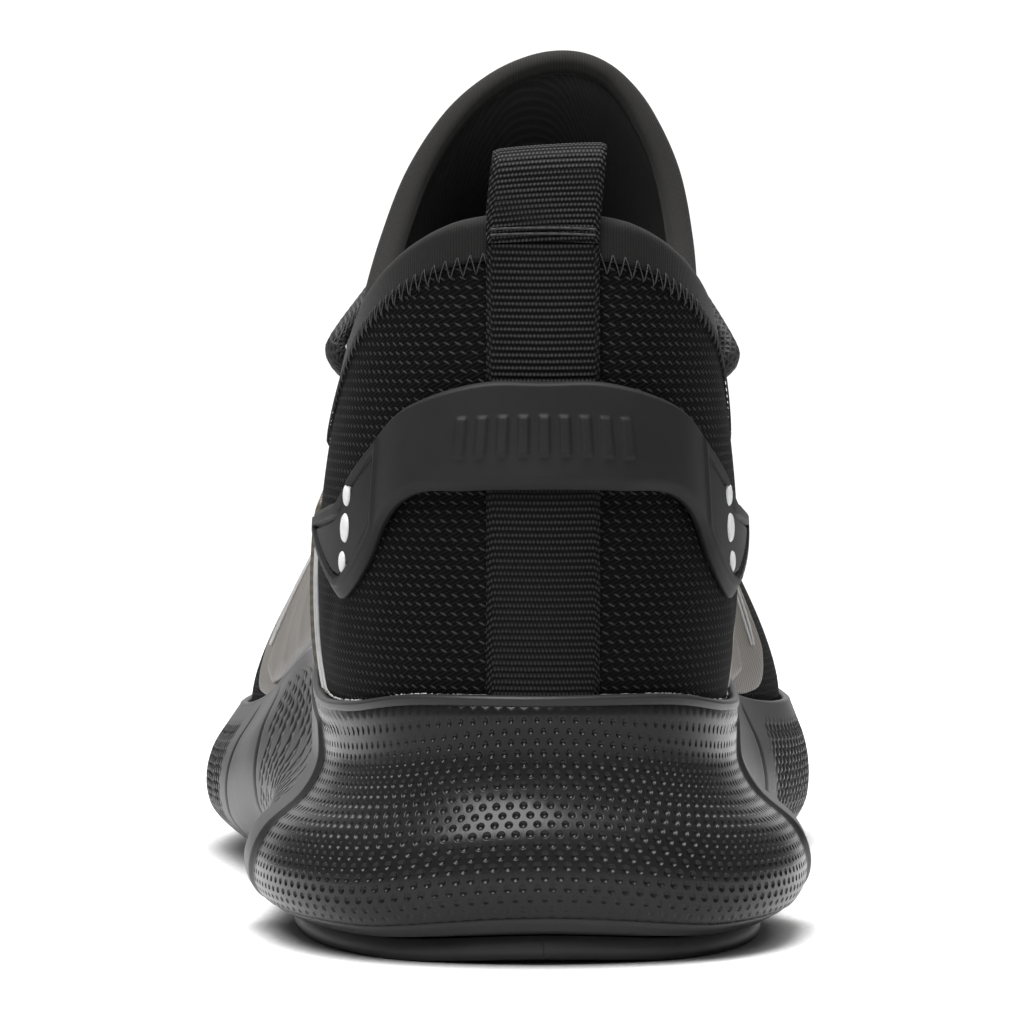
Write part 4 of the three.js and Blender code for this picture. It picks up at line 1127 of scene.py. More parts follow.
# Creases of the upper: the station and side of each one's middle, its height, its half length in
# turns, its slope and width in heights, and its depth in millimetres
creases = [
    (0.80, 1, 0.55, 0.035, 0.10, 0.10, 0.9),
    (0.80, -1, 0.50, 0.035, 0.12, 0.10, 0.9),
    (0.70, 1, 0.42, 0.030, -0.10, 0.09, 0.7),
    (0.69, -1, 0.44, 0.030, -0.12, 0.09, 0.7),
    (0.36, 1, 0.50, 0.030, 0.25, 0.12, 0.6),
    (0.36, -1, 0.52, 0.030, 0.25, 0.12, 0.6),
    (0.24, 1, 0.30, 0.025, -0.15, 0.10, 0.35),
    (0.24, -1, 0.26, 0.025, -0.15, 0.10, 0.35),
]


# Soft troughs: each is a bell across its line with a low ridge on either side, and fades towards its ends
def creaseDepth(turn, height):
    q, side = stationOf(turn)
    depth = np.zeros(np.broadcast(turn, height).shape)
    for at, way, middle, halfLength, slope, width, deep in creases:
        along = (q - at) / 2 / halfLength
        off = (height - middle - slope * along) / width
        bell = (1 - 0.9 * off**2) * np.exp(-(off**2))
        depth = depth + deep * bell * np.exp(-(along**2) * 1.6) * (side == way)
    return depth


upperTurns = (np.arange(upperLook["turns"]) / upperLook["turns"] - 0.5)[:, None]


def upperRows(rows):
    row = np.linspace(0, 1, rows)
    return np.concatenate([[-1, -0.5, -0.02], (1 - (1 - row) ** 1.2)[1:]])[None]


# A few of the rows, for the side of a wall that doesn't show
def fewerRows(heights):
    picked = np.linspace(0, heights.shape[1] - 1, upperLook["hiddenRows"])
    return heights[:, np.round(picked).astype(int)]


# Upper: a hoop of knit with creases pressed into its outside, and a hoop of lining that fills the rest of the wall
def buildUpper():
    heights = upperRows(upperLook["rows"])
    held = smooth((heights - 0.04) / 0.15) * smooth((1 - heights) / 0.12)
    outer = upperPoint(upperTurns, heights, -creaseDepth(upperTurns, heights) * held)
    hidden = fewerRows(heights)
    inner = upperPoint(upperTurns, hidden, -creaseDepth(upperTurns, hidden) - upperLook["shell"])
    made = wallSolid("upperKnit", outer, inner, finish["heelMesh"], True, upperLook["crown"][0])
    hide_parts("upper")
    heights = upperRows(upperLook["liningRows"])
    outer = upperPoint(upperTurns, fewerRows(heights), -upperLook["shell"] - upperLook["between"])
    inner = upperPoint(upperTurns, heights, -wallAt(upperTurns, heights))
    wallSolid("upperLining", outer, inner, finish["liningMesh"], True, upperLook["crown"][1])


# Collar binding: a knit strip folded over the edge, from the outside over a half round down to the inside
def buildBinding():
    q = np.linspace(-upperLook["bindingEnd"], upperLook["bindingEnd"], 340)
    turn = (q / 2)[:, None]
    taper = smooth((upperLook["bindingEnd"] - np.abs(q)) / 0.03)[:, None]
    steps = np.linspace(0, 1, 8)[None]

    def path(out):
        low = heightBelowTop(turn[:, 0], upperLook["bindingOut"])[:, None]
        outside = upperPoint(turn, mix(low, 1, steps), out * taper)
        deep = heightBelowTop(turn[:, 0], upperLook["bindingIn"])[:, None]
        down = mix(1, deep, steps)
        inside = upperPoint(turn, down, -wallAt(turn, down) - out * taper)
        centre = (outside[:, -1:] + inside[:, :1]) / 2
        rise = unit(outside[:, -1] - outside[:, -2])[:, None]
        reach = outside[:, -1:] - centre
        angle = np.linspace(0, np.pi, 13)[1:-1][None, :, None]
        tall = np.linalg.norm(reach, axis=-1, keepdims=True) * upperLook["bindingCrown"]
        over = centre + reach * np.cos(angle) + rise * tall * np.sin(angle)
        return np.concatenate([outside, over, inside], 1)

    rings = np.concatenate([path(upperLook["bindingWall"]), path(0.02)[:, ::-1]], 1)
    ringSolid("collarBinding", rings, finish["collarKnit"])


# Zigzag stitches: one thread that runs up and down across the binding's lower edge, sunk at its corners
def buildZigzag():
    fine = np.linspace(-upperLook["bindingEnd"], upperLook["bindingEnd"], 900) / 2
    edge = upperPoint(fine, heightBelowTop(fine, 5.0))
    run = np.concatenate([[0], np.cumsum(np.linalg.norm(np.diff(edge, axis=0), axis=1))])
    stitches = 2 * int(run[-1] / upperLook["zigzagPitch"])
    steps = 6
    s = np.arange(stitches * steps + 1) / steps
    share = np.abs((s + 1) % 2 - 1)
    turn = np.interp(s / stitches * run[-1], run, fine)
    below = mix(upperLook["zigzagTop"], upperLook["zigzagFoot"], share)
    lift = 0.42 + 0.16 * np.sin(np.pi * share) - 0.3 * smooth((np.abs(share - 0.5) - 0.4) / 0.1)
    height = heightBelowTop(turn, below)
    line = upperPoint(turn, height, lift)
    normals = normalOf(upperSurface, turn, height, 0, 1)
    wide = upperLook["threadWidth"]
    cordSolid("collarZigzag", line, normals, wide, wide, 6, finish["thread"])


tongueLook = {
    "turns": 260,
    "rows": (6, 28),  # of the knit, tucked in and free
    "liningRows": (5, 20),
    "liningTop": 0.985,
    "shell": 1.5,
    "between": 0.1,
    "swell": 0.275,  # of the wall below the rim
    "rim": 5.5,  # how far the rolled rim reaches down
    "rimProud": 0.55,
    "rimCrown": 0.8,
}


# Tongue: a knitted wall that swells a little below its rim, and a lining inside it
def buildTongue():
    q = np.linspace(place["tongueStart"], 1, tongueLook["turns"] // 2)
    turn = np.concatenate([q / 2, 1 - q[:-1][::-1] / 2])[:, None]

    def rows(counts, top):
        return np.concatenate([np.linspace(-1, 0, counts[0]), np.linspace(0.04, top, counts[1])])[None]

    heights = rows(tongueLook["rows"], 1)
    swell = tongueLook["swell"] * np.sqrt(np.clip(1 - ((heights - 0.93) / 0.1) ** 2, 0, 1))
    outer = tonguePoint(turn, heights, swell)
    middle = tonguePoint(turn, heights, -tongueLook["shell"])
    made = wallSolid("tongueKnit", outer, middle, finish["tongueKnit"], False, 0.6)
    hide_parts("tongue")
    heights = rows(tongueLook["liningRows"], tongueLook["liningTop"])
    outer = tonguePoint(turn, heights, -tongueLook["shell"] - tongueLook["between"])
    inner = tonguePoint(turn, heights, -size["tongueWall"])
    wallSolid("tongueLining", outer, inner, finish["liningMesh"], False, 0.3)
    return turn


# Rolled rim of the tongue: up its outside, over a half round and down inside, a little swollen
def buildTongueRim(turn):
    steps = np.linspace(0, 1, 9)[None]
    top = tongueSurface(turn, np.array([[0.9, 1.0]]))
    reach = 0.1 * tongueLook["rim"] / np.maximum(np.linalg.norm(top[:, 1] - top[:, 0], axis=-1), 0.5)
    reach = np.clip(reach, 0.04, 0.45)[:, None]

    def path(out):
        h = mix(1 - reach, 1.0, steps)
        swell = out * np.sin(np.pi * np.clip(steps * 0.72 + 0.06, 0, 1)) ** 0.5
        outside = tonguePoint(turn, h, swell)
        inside = tonguePoint(turn, mix(1.0, 1 - 0.3 * reach, steps), -size["tongueWall"] - swell[:, ::-1])
        centre = (outside[:, -1:] + inside[:, :1]) / 2
        span = outside[:, -1:] - centre
        rise = unit(outside[:, -1] - outside[:, -2])[:, None]
        angle = np.linspace(0, np.pi, 13)[1:-1][None, :, None]
        tall = np.linalg.norm(span, axis=-1, keepdims=True) * tongueLook["rimCrown"]
        over = centre + span * np.cos(angle) + rise * tall * np.sin(angle)
        return np.concatenate([outside, over, inside], 1)

    rings = np.concatenate([path(tongueLook["rimProud"]), path(0.02)[:, ::-1]], 1)
    ringSolid("tongueRim", rings, finish["tongueKnit"])


buildUpper()
buildBinding()
buildZigzag()
buildTongueRim(buildTongue())
print("upper made")

# Overlays

eyestayLook = {"width": 12.0, "edge": 1.5, "rows": 14, "stitchInset": 1.4}
stitchLook = {"pitch": 2.6, "width": 0.42, "sunk": 0.28, "steps": 8}
skinLift = 0.1  # of the inside of the eyestay and the side panels off the upper
skinWall = size["overlayGap"] + size["overlayWall"] - skinLift


# A skin on the upper between two heights at each turn, its edges rounded over their last tenth
def overlaySolid(name, turn, low, high, lift, wall, rows, material, relief=None):
    share = 0.5 - 0.5 * np.cos(np.pi * np.linspace(0, 1, rows)[None])
    heights = mix(low, high, share)
    edge = np.sqrt(np.clip(1 - (np.abs(2 * share - 1) ** 8), 0, 1))
    out = wall * (0.35 + 0.65 * edge)
    if relief is not None:
        out = out + relief(turn, share)
    outer = upperPoint(turn, heights, lift + out)
    inner = upperPoint(turn, heights, lift + 0 * out)
    return wallSolid(name, outer, inner, material)


def buildEyestay():
    q = np.linspace(place["eyestayStart"], 1, 150)
    turn = np.concatenate([q / 2, 1 - q[:-1][::-1] / 2])[:, None]
    low = heightBelowTop(turn[:, 0], eyestayLook["edge"] + eyestayLook["width"])[:, None]
    high = heightBelowTop(turn[:, 0], eyestayLook["edge"])[:, None]
    made = overlaySolid(
        "eyestaySkin", turn, low, high, skinLift, skinWall, eyestayLook["rows"], finish["eyestayFilm"]
    )
    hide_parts("eyestay")
    inset = eyestayLook["stitchInset"]
    for i, below in enumerate((inset, eyestayLook["width"] - inset)):
        height = heightBelowTop(turn[:, 0], eyestayLook["edge"] + below)
        stitchLine(f"eyestayStitch{i + 1}", turn[:, 0], height, skinLift + skinWall)


# Running stitches along a line of the upper: one thread that dips into the skin between stitches
def stitchLine(name, turn, height, lift):
    pitch, width = stitchLook["pitch"], stitchLook["width"]
    line = upperPoint(turn, height)
    run = np.concatenate([[0], np.cumsum(np.linalg.norm(np.diff(line, axis=0), axis=1))])
    count = int(run[-1] / pitch) * stitchLook["steps"]
    s = np.linspace(0, run[-1], count)
    turn, height = np.interp(s, run, turn), np.interp(s, run, height)
    wave = np.cos(2 * np.pi * s / pitch)
    line = upperPoint(turn, height, lift + 0.02 + stitchLook["sunk"] * np.clip(wave + 0.55, -1, 1))
    normals = normalOf(upperSurface, turn, height, 0, 1)
    cordSolid(name, line, normals, width, width, 6, finish["thread"])


sidePanelEdge = table("at low high", [
    [0.325, 0.03, 0.62],
    [0.36, 0.03, 0.66],
    [0.4, 0.03, 0.64],
    [0.44, 0.03, 0.58],
    [0.48, 0.04, 0.5],
    [0.515, 0.06, 0.38],
    [0.53, 0.12, 0.24],
])
panelLook = {
    "rows": 28,
    "barPitch": 0.034,  # of the raised bars, in stations
    "barStart": 0.345,
    "barLean": 0.02,
    "barProud": 0.1,
}
vampFilm = table("at low high", [
    [0.41, 0.02, 0.62],
    [0.45, 0.02, 0.6],
    [0.49, 0.02, 0.57],
    [0.52, 0.02, 0.55],
    [0.545, 0.05, 0.53],
    [0.565, 0.1, 0.5],
    [0.58, 0.2, 0.46],
])
vampLook = {"rows": 24, "wall": 0.35, "lift": 0.02}


# Side panel with soft raised bars that follow its rear edge
def buildSidePanel(side, name):
    q = np.linspace(sidePanelEdge["at"][0], sidePanelEdge["at"][-1], 90)
    turn = (q / 2 if side > 0 else 1 - q / 2)[:, None]
    low = np.interp(q, sidePanelEdge["at"], sidePanelEdge["low"])[:, None]
    high = softCurve(sidePanelEdge["at"], sidePanelEdge["high"])(q)[:, None]

    def bars(turns, share):
        station, _ = stationOf(turns)
        along = station - panelLook["barStart"] - panelLook["barLean"] * share
        held = band(station, 0.34, 0.5, 0.02) * band(share, 0.08, 0.9, 0.1)
        return panelLook["barProud"] * smooth(np.cos(2 * np.pi * along / panelLook["barPitch"])) * held

    made = overlaySolid(
        "sidePanel" + name, turn, low, high, skinLift, skinWall, panelLook["rows"],
        finish["sideFilm"], bars,
    )
    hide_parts("side_panel_" + name.lower())


# The film goes on over the vamp as a thin skin, from under the side panel to its border with the open knit
def buildVampFilm(side, name):
    q = np.linspace(vampFilm["at"][0], vampFilm["at"][-1], 80)
    turn = (q / 2 if side > 0 else 1 - q / 2)[:, None]
    low = softCurve(vampFilm["at"], vampFilm["low"])(q)[:, None]
    high = softCurve(vampFilm["at"], vampFilm["high"])(q)[:, None]
    overlaySolid(
        "vampFilm" + name, turn, low, high, vampLook["lift"], vampLook["wall"], vampLook["rows"],
        finish["sideFilm"],
    )


pipingLook = {
    "width": 0.5,
    "height": 0.6,
    "rear": ((0.31, 0.15), (0.3145, 0.55)),  # station and lift of each cord
    "rearBow": (-0.012, -0.003, 0.0, 0.001, 0.002),
    "rearHeights": (0.0, 0.12, 0.25, 0.38, 0.47),
    "front": (0.56, 0.567),
    "frontHeights": (0.51, 0.44, 0.37, 0.29, 0.22),
}


# White piping: a flat cord along a line of stations and heights on the upper
def piping(name, side, stations, heights, lift):
    t = np.linspace(0, 1, 120)
    knots = np.linspace(0, 1, len(stations))
    q = softCurve(knots, stations)(t)
    height = softCurve(knots, heights)(t)
    turn = q / 2 if side > 0 else 1 - q / 2
    line = upperPoint(turn, height, lift)
    normals = normalOf(upperSurface, turn, height, 0, 1)
    wide, tall = pipingLook["width"], pipingLook["height"]
    cordSolid(name, line, normals, wide, tall, 10, finish["piping"])


buildEyestay()
for side, name in ((1, "Inner"), (-1, "Outer")):
    buildSidePanel(side, name)
    buildVampFilm(side, name)
    for i, (station, lift) in enumerate(pipingLook["rear"]):
        stations = station + np.array(pipingLook["rearBow"])
        piping(f"rearPiping{name}{i + 1}", side, stations, pipingLook["rearHeights"], lift)
    for i, station in enumerate(pipingLook["front"]):
        stations = station + np.array([0.012, 0.005, 0.002, 0.0, -0.003 * i])
        piping(f"frontPiping{name}{i + 1}", side, stations, pipingLook["frontHeights"], vampLook["wall"] + 0.1)
print("overlays made")

# Heel webbing and pull loop

tapeLook = {"width": 17.6, "wall": 1.2, "rib": 1.0, "ribDepth": 0.16, "loopRib": 0.8, "across": 20}
loopLook = {
    "rise": 12.5,
    "seam": 2.7,
    "tuck": 6.0,
    "lean": 0.1,
    "tilt": 0.55,
    "bow": 0.35,
    "ribDepth": 0.12,
    "steps": 330,
    "stitchRows": (0.6, 1.5),  # below the collar's edge
    "stitchWaves": 4.6,
}


def halfTapeTurn():
    turn = np.linspace(0, 0.2, 800)
    return np.interp(tapeLook["width"] / 2, upperSurface(turn, 0.5)[:, 0], turn)


# Heel tape: sections across the back of the upper, its weft ribs raised by a rectified cosine of the length
def buildHeelTape():
    limit = halfTapeTurn()
    top = float(heightAt(0.0, size["heelStack"] + size["collarRise"] - loopLook["seam"] - size["gap"]))
    fine = np.linspace(0.0, top, 400)
    run = np.concatenate(
        [[0], np.cumsum(np.linalg.norm(np.diff(upperSurface(0.0, fine), axis=0), axis=1))]
    )
    count = int(run[-1] / tapeLook["rib"])
    s = np.linspace(0, run[-1], count * 7)
    height = np.interp(s, run, fine)[:, None]
    turn = np.linspace(-limit, limit, tapeLook["across"])[None]
    rib = tapeLook["ribDepth"] * (np.abs(np.cos(np.pi * s / tapeLook["rib"])) - 0.5)[:, None]
    edge = 1 - smooth((np.abs(turn / limit) - 0.94) / 0.06)
    x = turn / limit * tapeLook["width"] / 2
    raised = (rib - 0.2) * (0.4 + 0.6 * edge) - 0.4 * (1 - edge)
    outer = upperPoint(turn, height, size["gap"] + tapeLook["wall"] + raised)
    inner = upperPoint(turn, height, size["gap"] * 0.3)
    outer[..., 0] = x
    inner[..., 0] = x
    rings = np.concatenate([outer, inner[:, ::-1]], 1)
    made = ringSolid("heelWebbing", rings, finish["heelWeb"])
    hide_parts("heel_tape")


# Pull loop: a band that goes up from the seam, over a half round and down inside the collar. It leans sideways with
# its height.
def buildPullLoop():
    limit = halfTapeTurn()
    turn = np.linspace(-limit, limit, tapeLook["across"])
    outside = upperPoint(turn, 1.0, size["gap"])
    inside = upperPoint(turn, 1.0, -wallAt(turn, 1.0) - 4 * size["gap"])
    middle = (outside[:, 1] + inside[:, 1]) / 2
    radius = (inside[:, 1] - outside[:, 1]) / 2
    base = outside[:, 2]
    crown = base + loopLook["rise"] - tapeLook["wall"] - radius
    t = np.linspace(0, 1, loopLook["steps"])[:, None]
    rise, arc, fall = crown - base + loopLook["seam"], np.pi * radius, crown - base + loopLook["tuck"]
    s = t * (rise + arc + fall)
    angle = np.pi - np.clip((s - rise) / radius, 0, np.pi)
    height = np.where(s < rise, base - loopLook["seam"] + s, crown + radius * np.sin(angle))
    height = np.where(s > rise + arc, crown - (s - rise - arc), height)
    rib = loopLook["ribDepth"] * (np.abs(np.cos(np.pi * s / tapeLook["loopRib"])) - 0.5)
    edge = 1 - smooth((np.abs(turn / limit) - 0.93) / 0.07)
    bow = loopLook["bow"] * np.sin(np.pi * np.clip((height - base) / loopLook["rise"], 0, 1))

    def sheet(out):
        y = middle + (radius + out) * np.cos(angle)
        z = height + out * np.sin(angle)
        lean = loopLook["lean"] * np.maximum(0, z - base)
        x = turn / limit * tapeLook["width"] / 2 + lean + 0 * y
        share = np.clip((z - base) / loopLook["rise"], 0, 1)
        return point(x, y + bow * np.sign(np.cos(angle)), z + loopLook["tilt"] * turn / limit * share)

    outer = sheet(tapeLook["wall"] + rib * edge - 0.25 * (1 - edge))
    inner = sheet(-rib * edge + 0.25 * (1 - edge))
    rings = np.concatenate([outer, inner[:, ::-1]], 1)
    made = ringSolid("pullLoopWeb", rings, finish["loopWeb"])
    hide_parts("pull_loop")
    across = np.linspace(-0.92, 0.92, 110)
    wave = np.cos(2 * np.pi * loopLook["stitchWaves"] * across)
    normals = np.tile([0.0, -1.0, 0.1], (len(across), 1))
    for i, below in enumerate(loopLook["stitchRows"]):
        height = heightBelowTop(across * limit, below)
        line = upperPoint(across * limit, height, size["gap"] + tapeLook["wall"])
        line[:, 0] = across * tapeLook["width"] / 2
        line[:, 1] -= 0.12 + 0.2 * np.clip(wave + 0.5, -1, 1)
        cordSolid(f"loopStitch{i + 1}", line, normals, 0.4, 0.4, 6, finish["thread"])


buildHeelTape()
buildPullLoop()
print("webbing made")

# Heel strap

strapEdge = table("at low high", [
    [0, 0.515, 0.71],
    [0.05, 0.513, 0.709],
    [0.1, 0.5, 0.672],
    [0.13, 0.448, 0.633],
    [0.155, 0.375, 0.59],
    [0.18, 0.327, 0.545],
    [0.205, 0.303, 0.492],
    [0.23, 0.332, 0.476],
    [0.26, 0.385, 0.462],
    [0.285, 0.435, 0.452],
])
strapLook = {
    "wall": 2.2,
    "endWall": 1.5,
    "tapeLift": 1.5,
    "bevelLow": 2.0,  # width of the sloping lower edge, and of the small upper one
    "bevelHigh": 0.7,
    "armEnd": 0.1,  # station where the strap starts to come down to the plate's thinner wall
    "kiteStart": 0.135,
    "kiteEnd": 0.272,
    "arcPerStation": 330.0,  # millimetres round the heel
    "frameWidth": 1.6,
    "frameProud": 0.35,
    "grooveDepth": 0.55,
    "ribs": 9,  # plain grip ribs at the centre
    "ribPitch": 3.0,
    "ribRise": 0.5,
    "ribLevels": (5.2, 11.4),  # above the strap's lower edge
    "sideColumns": 140,
    "backColumns": 200,
    "backEnd": 0.12,
    "rows": 60,
}


# Heights of the strap's lower and upper edge above the floor, at stations q
def strapLevels(q):
    low = size["heelStack"] + softCurve(strapEdge["at"], strapEdge["low"])(q) * size["collarRise"]
    high = size["heelStack"] + softCurve(strapEdge["at"], strapEdge["high"])(q) * size["collarRise"]
    return low, high


def strapWall(q):
    return mix(strapLook["wall"], strapLook["endWall"], smooth((q - strapLook["armEnd"]) / 0.1))


# The strap's face: bevelled at both edges, with a raised frame and a groove round each kite and short ribs between,
# from a point's distance to both edges and its length s along the strap
def strapRelief(q, toLow, toHigh, s):
    wall = strapWall(q)
    arc = strapLook["arcPerStation"]
    lowBevel = np.clip(toLow / strapLook["bevelLow"], 0, 1)
    highBevel = np.sqrt(np.clip(toHigh / strapLook["bevelHigh"], 0, 1))
    made = wall * np.minimum(0.45 + 0.55 * np.sin(lowBevel * np.pi / 2), 0.5 + 0.5 * highBevel)
    inner = np.minimum(np.minimum(toLow - 2.0, toHigh - 0.9), (q - strapLook["kiteStart"] - 0.004) * arc)
    inner = np.minimum(inner, (strapLook["kiteEnd"] - q) * arc)
    onKite = smooth((q - strapLook["kiteStart"] + 0.012) / 0.006)
    frameTop = band(inner, 0.0, strapLook["frameWidth"], 0.3)
    groove = band(inner, strapLook["frameWidth"], strapLook["frameWidth"] + 0.55, 0.25)
    made = made + onKite * (frameTop * strapLook["frameProud"] - groove * strapLook["grooveDepth"])
    across = np.abs(s) / strapLook["ribPitch"]
    inRow = np.abs((across + 0.5) % 1 - 0.5) * strapLook["ribPitch"]
    shown = (across < strapLook["ribs"] / 2) * band(toLow, *strapLook["ribLevels"], 0.4)
    return made + strapLook["ribRise"] * smooth((0.75 - inRow) / 0.35 + 0.5) * shown


def strapLift(q):
    return size["gap"] * 0.3 + strapLook["tapeLift"] * (1 - smooth((q - strapLook["armEnd"]) / 0.05))


def buildStrap():
    reach, backEnd = strapEdge["at"][-1], strapLook["backEnd"]
    arm = np.linspace(backEnd, reach, strapLook["sideColumns"])[1:]
    q = np.concatenate([-arm[::-1], np.linspace(-backEnd, backEnd, strapLook["backColumns"]), arm])
    turn = (q / 2)[:, None]
    station = np.abs(q)[:, None]
    low, high = strapLevels(np.abs(q))
    share = np.linspace(0, 1, strapLook["rows"])[None]
    share = mix(share, 0.5 - 0.5 * np.cos(np.pi * share), 0.5)
    z = mix(low[:, None], high[:, None], share)
    height = heightAt(np.broadcast_to(turn, z.shape), z)
    middle = upperSurface(turn[:, 0], height[:, strapLook["rows"] // 2])
    s = np.concatenate([[0], np.cumsum(np.linalg.norm(np.diff(middle, axis=0), axis=1))])
    s = (s - np.interp(0, q, s))[:, None]
    narrow = smooth((reach - station) / 0.02)
    relief = strapRelief(station, (z - low[:, None]) * 1.02, (high[:, None] - z) * 1.02, s)
    outer = upperPoint(turn, height, strapLift(station) + relief * (0.6 + 0.4 * narrow))
    inner = upperPoint(turn, height, strapLift(station) + 0 * relief)
    made = wallSolid("heelStrap", outer, inner, finish["strapRubber"])
    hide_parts("heel_strap")


# Reflective inlay of each kite: a column of round studs, low domes on the strap. Each is given by its station, its
# share of the way up the strap and its radius in millimetres.
studs = ((0.184, 0.83, 1.8), (0.186, 0.56, 2.3), (0.19, 0.29, 1.7))
studLook = {"rise": 0.45, "edge": 0.1, "sunk": 0.5, "rings": 7, "around": 28}


def buildInlay(side, name):
    for i, (at, middle, radius) in enumerate(studs):
        ring = np.linspace(0, 1, studLook["rings"])[:, None] ** 0.6
        angle = (np.arange(studLook["around"]) * 2 * np.pi / studLook["around"])[None]
        q = at + radius * ring * np.cos(angle) / strapLook["arcPerStation"]
        low, high = strapLevels(at + 0 * q)
        z = mix(low, high, middle) + radius * ring * np.sin(angle)
        turn = side * q / 2
        height = heightAt(turn, z)
        base = strapLift(q) + strapWall(q)
        dome = studLook["edge"] + studLook["rise"] * np.sqrt(np.clip(1 - ring**2, 0, 1))
        outer = upperPoint(turn, height, base + dome)
        inner = upperPoint(turn, height, base - studLook["sunk"])
        discSolid(f"kiteStud{name}{i + 1}", outer, inner, finish["inlay"])


buildStrap()
buildInlay(1, "Inner")
buildInlay(-1, "Outer")
print("strap made")

# Lacing

laceLook = {
    "width": 3.6,
    "thickness": 2.8,
    "sides": 16,
    "step": 0.55,  # between the rings of the cord
    "braidPitch": 1.6,
    "braidRise": 0.035,
    "gap": 1.4,
    "lead": 3.2,
    "loopWidth": 5.0,
    "loopSpan": 9.0,
    "loopBulge": 3.0,
    "loopWall": 0.9,
    "loopEdge": 1.5,
    "pairs": 5,
    "topEyelet": 0.44,
    "bottomEyelet": 0.72,
    "topTilt": 0.9,  # of a strand's plane from upright, in radians, and the others too
    "bottomTilt": 0.2,
    "crossInset": 4.5,
    "crossRise": 1.5,
    "barTilt": 0.8,
    "barInset": 5.0,
    "barRise": 2.6,
}


# Place of a lace loop: its middle on the eyestay, and the ways along the throat, to its edge and out
def eyeletAt(pair, side):
    q = mix(laceLook["topEyelet"], laceLook["bottomEyelet"], pair / (laceLook["pairs"] - 1))

    def onEyestay(station, below):
        turn = np.array(station / 2 if side > 0 else 1 - station / 2)
        lift = size["overlayGap"] + size["overlayWall"] + size["gap"]
        return upperPoint(turn, heightBelowTop(turn, below), lift)

    edge, span = laceLook["loopEdge"], laceLook["loopSpan"]
    middle = edge + span / 2
    centre = onEyestay(q, middle)
    along = unit(onEyestay(q + 0.01, middle) - onEyestay(q - 0.01, middle))
    inwards = unit(onEyestay(q, edge) - onEyestay(q, edge + span))
    out = unit(np.cross(along, inwards) * side)
    return centre, along, inwards, out


# Lace loop: a webbing arch off the eyestay, a half ellipse carried along the throat, its edges a little rounded
def buildLaceLoop(pair, side):
    centre, along, inwards, out = eyeletAt(pair, side)
    angle = np.linspace(0, np.pi, 40)[None, :, None]
    shift = np.linspace(-0.5, 0.5, 9)[:, None, None]

    def arch(extra):
        soften = extra * (1 - 0.35 * (2 * shift) ** 6)
        reach = laceLook["loopSpan"] / 2 + soften
        tall = laceLook["loopBulge"] + soften
        made = centre - inwards * reach * np.cos(angle) + out * (tall * np.sin(angle) - 0.3)
        return made + along * shift * laceLook["loopWidth"]

    rings = np.concatenate([arch(laceLook["loopWall"]), arch(0.0)[:, ::-1]], 1)
    name = ("inner" if side > 0 else "outer") + f"_{pair + 1}"
    made = ringSolid("laceLoop_" + name, rings, finish["heelWeb"])
    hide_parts("lace_loop_" + name)


# Where the lace leaves a loop, and where it turns off towards the other side
def mouthOf(pair, side, towards, inset, rise):
    centre, along, inwards, out = eyeletAt(pair, side)
    end = centre + along * (towards * (laceLook["loopWidth"] + laceLook["width"]) / 2)
    end = end + out * (size["gap"] + laceLook["thickness"] / 2 + size["gap"])
    turn = end + along * (towards * laceLook["lead"]) + inwards * inset + out * rise
    return end, turn


# The pieces that the lace lies over, to be met by rays
def searchTree(key):
    mesh = nodes[key].data
    return BVHTree.FromPolygons([v.co / mm for v in mesh.vertices], [p.vertices[:] for p in mesh.polygons])


trees = [searchTree(key) for key in ("upper", "tongue", "eyestay")]


# A strand stretched over the pieces under it: rays find their height along its plane, and a taut line lies on top
def strandLine(start, end, tilt, lift=0.0):
    normal = np.array([0, np.sin(tilt), np.cos(tilt)])
    far = 90.0  # clear of everything under the strand
    steps = 10
    clear = laceLook["thickness"] / 2 + laceLook["gap"]
    shares = np.linspace(0, 1, steps + 1)
    heights = np.zeros(steps + 1)
    for i in range(1, steps):
        origin = mix(start[1], end[1], shares[i]) + normal * far
        hits = [tree.ray_cast(Vector(origin), Vector(-normal)) for tree in trees]
        hits = [hit for hit in hits if hit[0] is not None]
        if hits:
            hit = min(hits, key=lambda found: found[3])
            facing = max(0.4, abs(np.dot(hit[1], normal)))
            heights[i] = max(0.0, far - hit[3] + clear / facing)
    hull = heights.copy()
    for j in range(steps):
        for k in range(j + 2, steps + 1):
            inside = np.arange(j + 1, k)
            hull[inside] = np.maximum(hull[inside], mix(heights[j], heights[k], (inside - j) / (k - j)))
    hull = hull + lift * np.sin(np.pi * shares) ** 6
    return mix(start[1], end[1], shares[:, None]) + normal * hull[:, None], np.tile(normal, (steps + 1, 1))


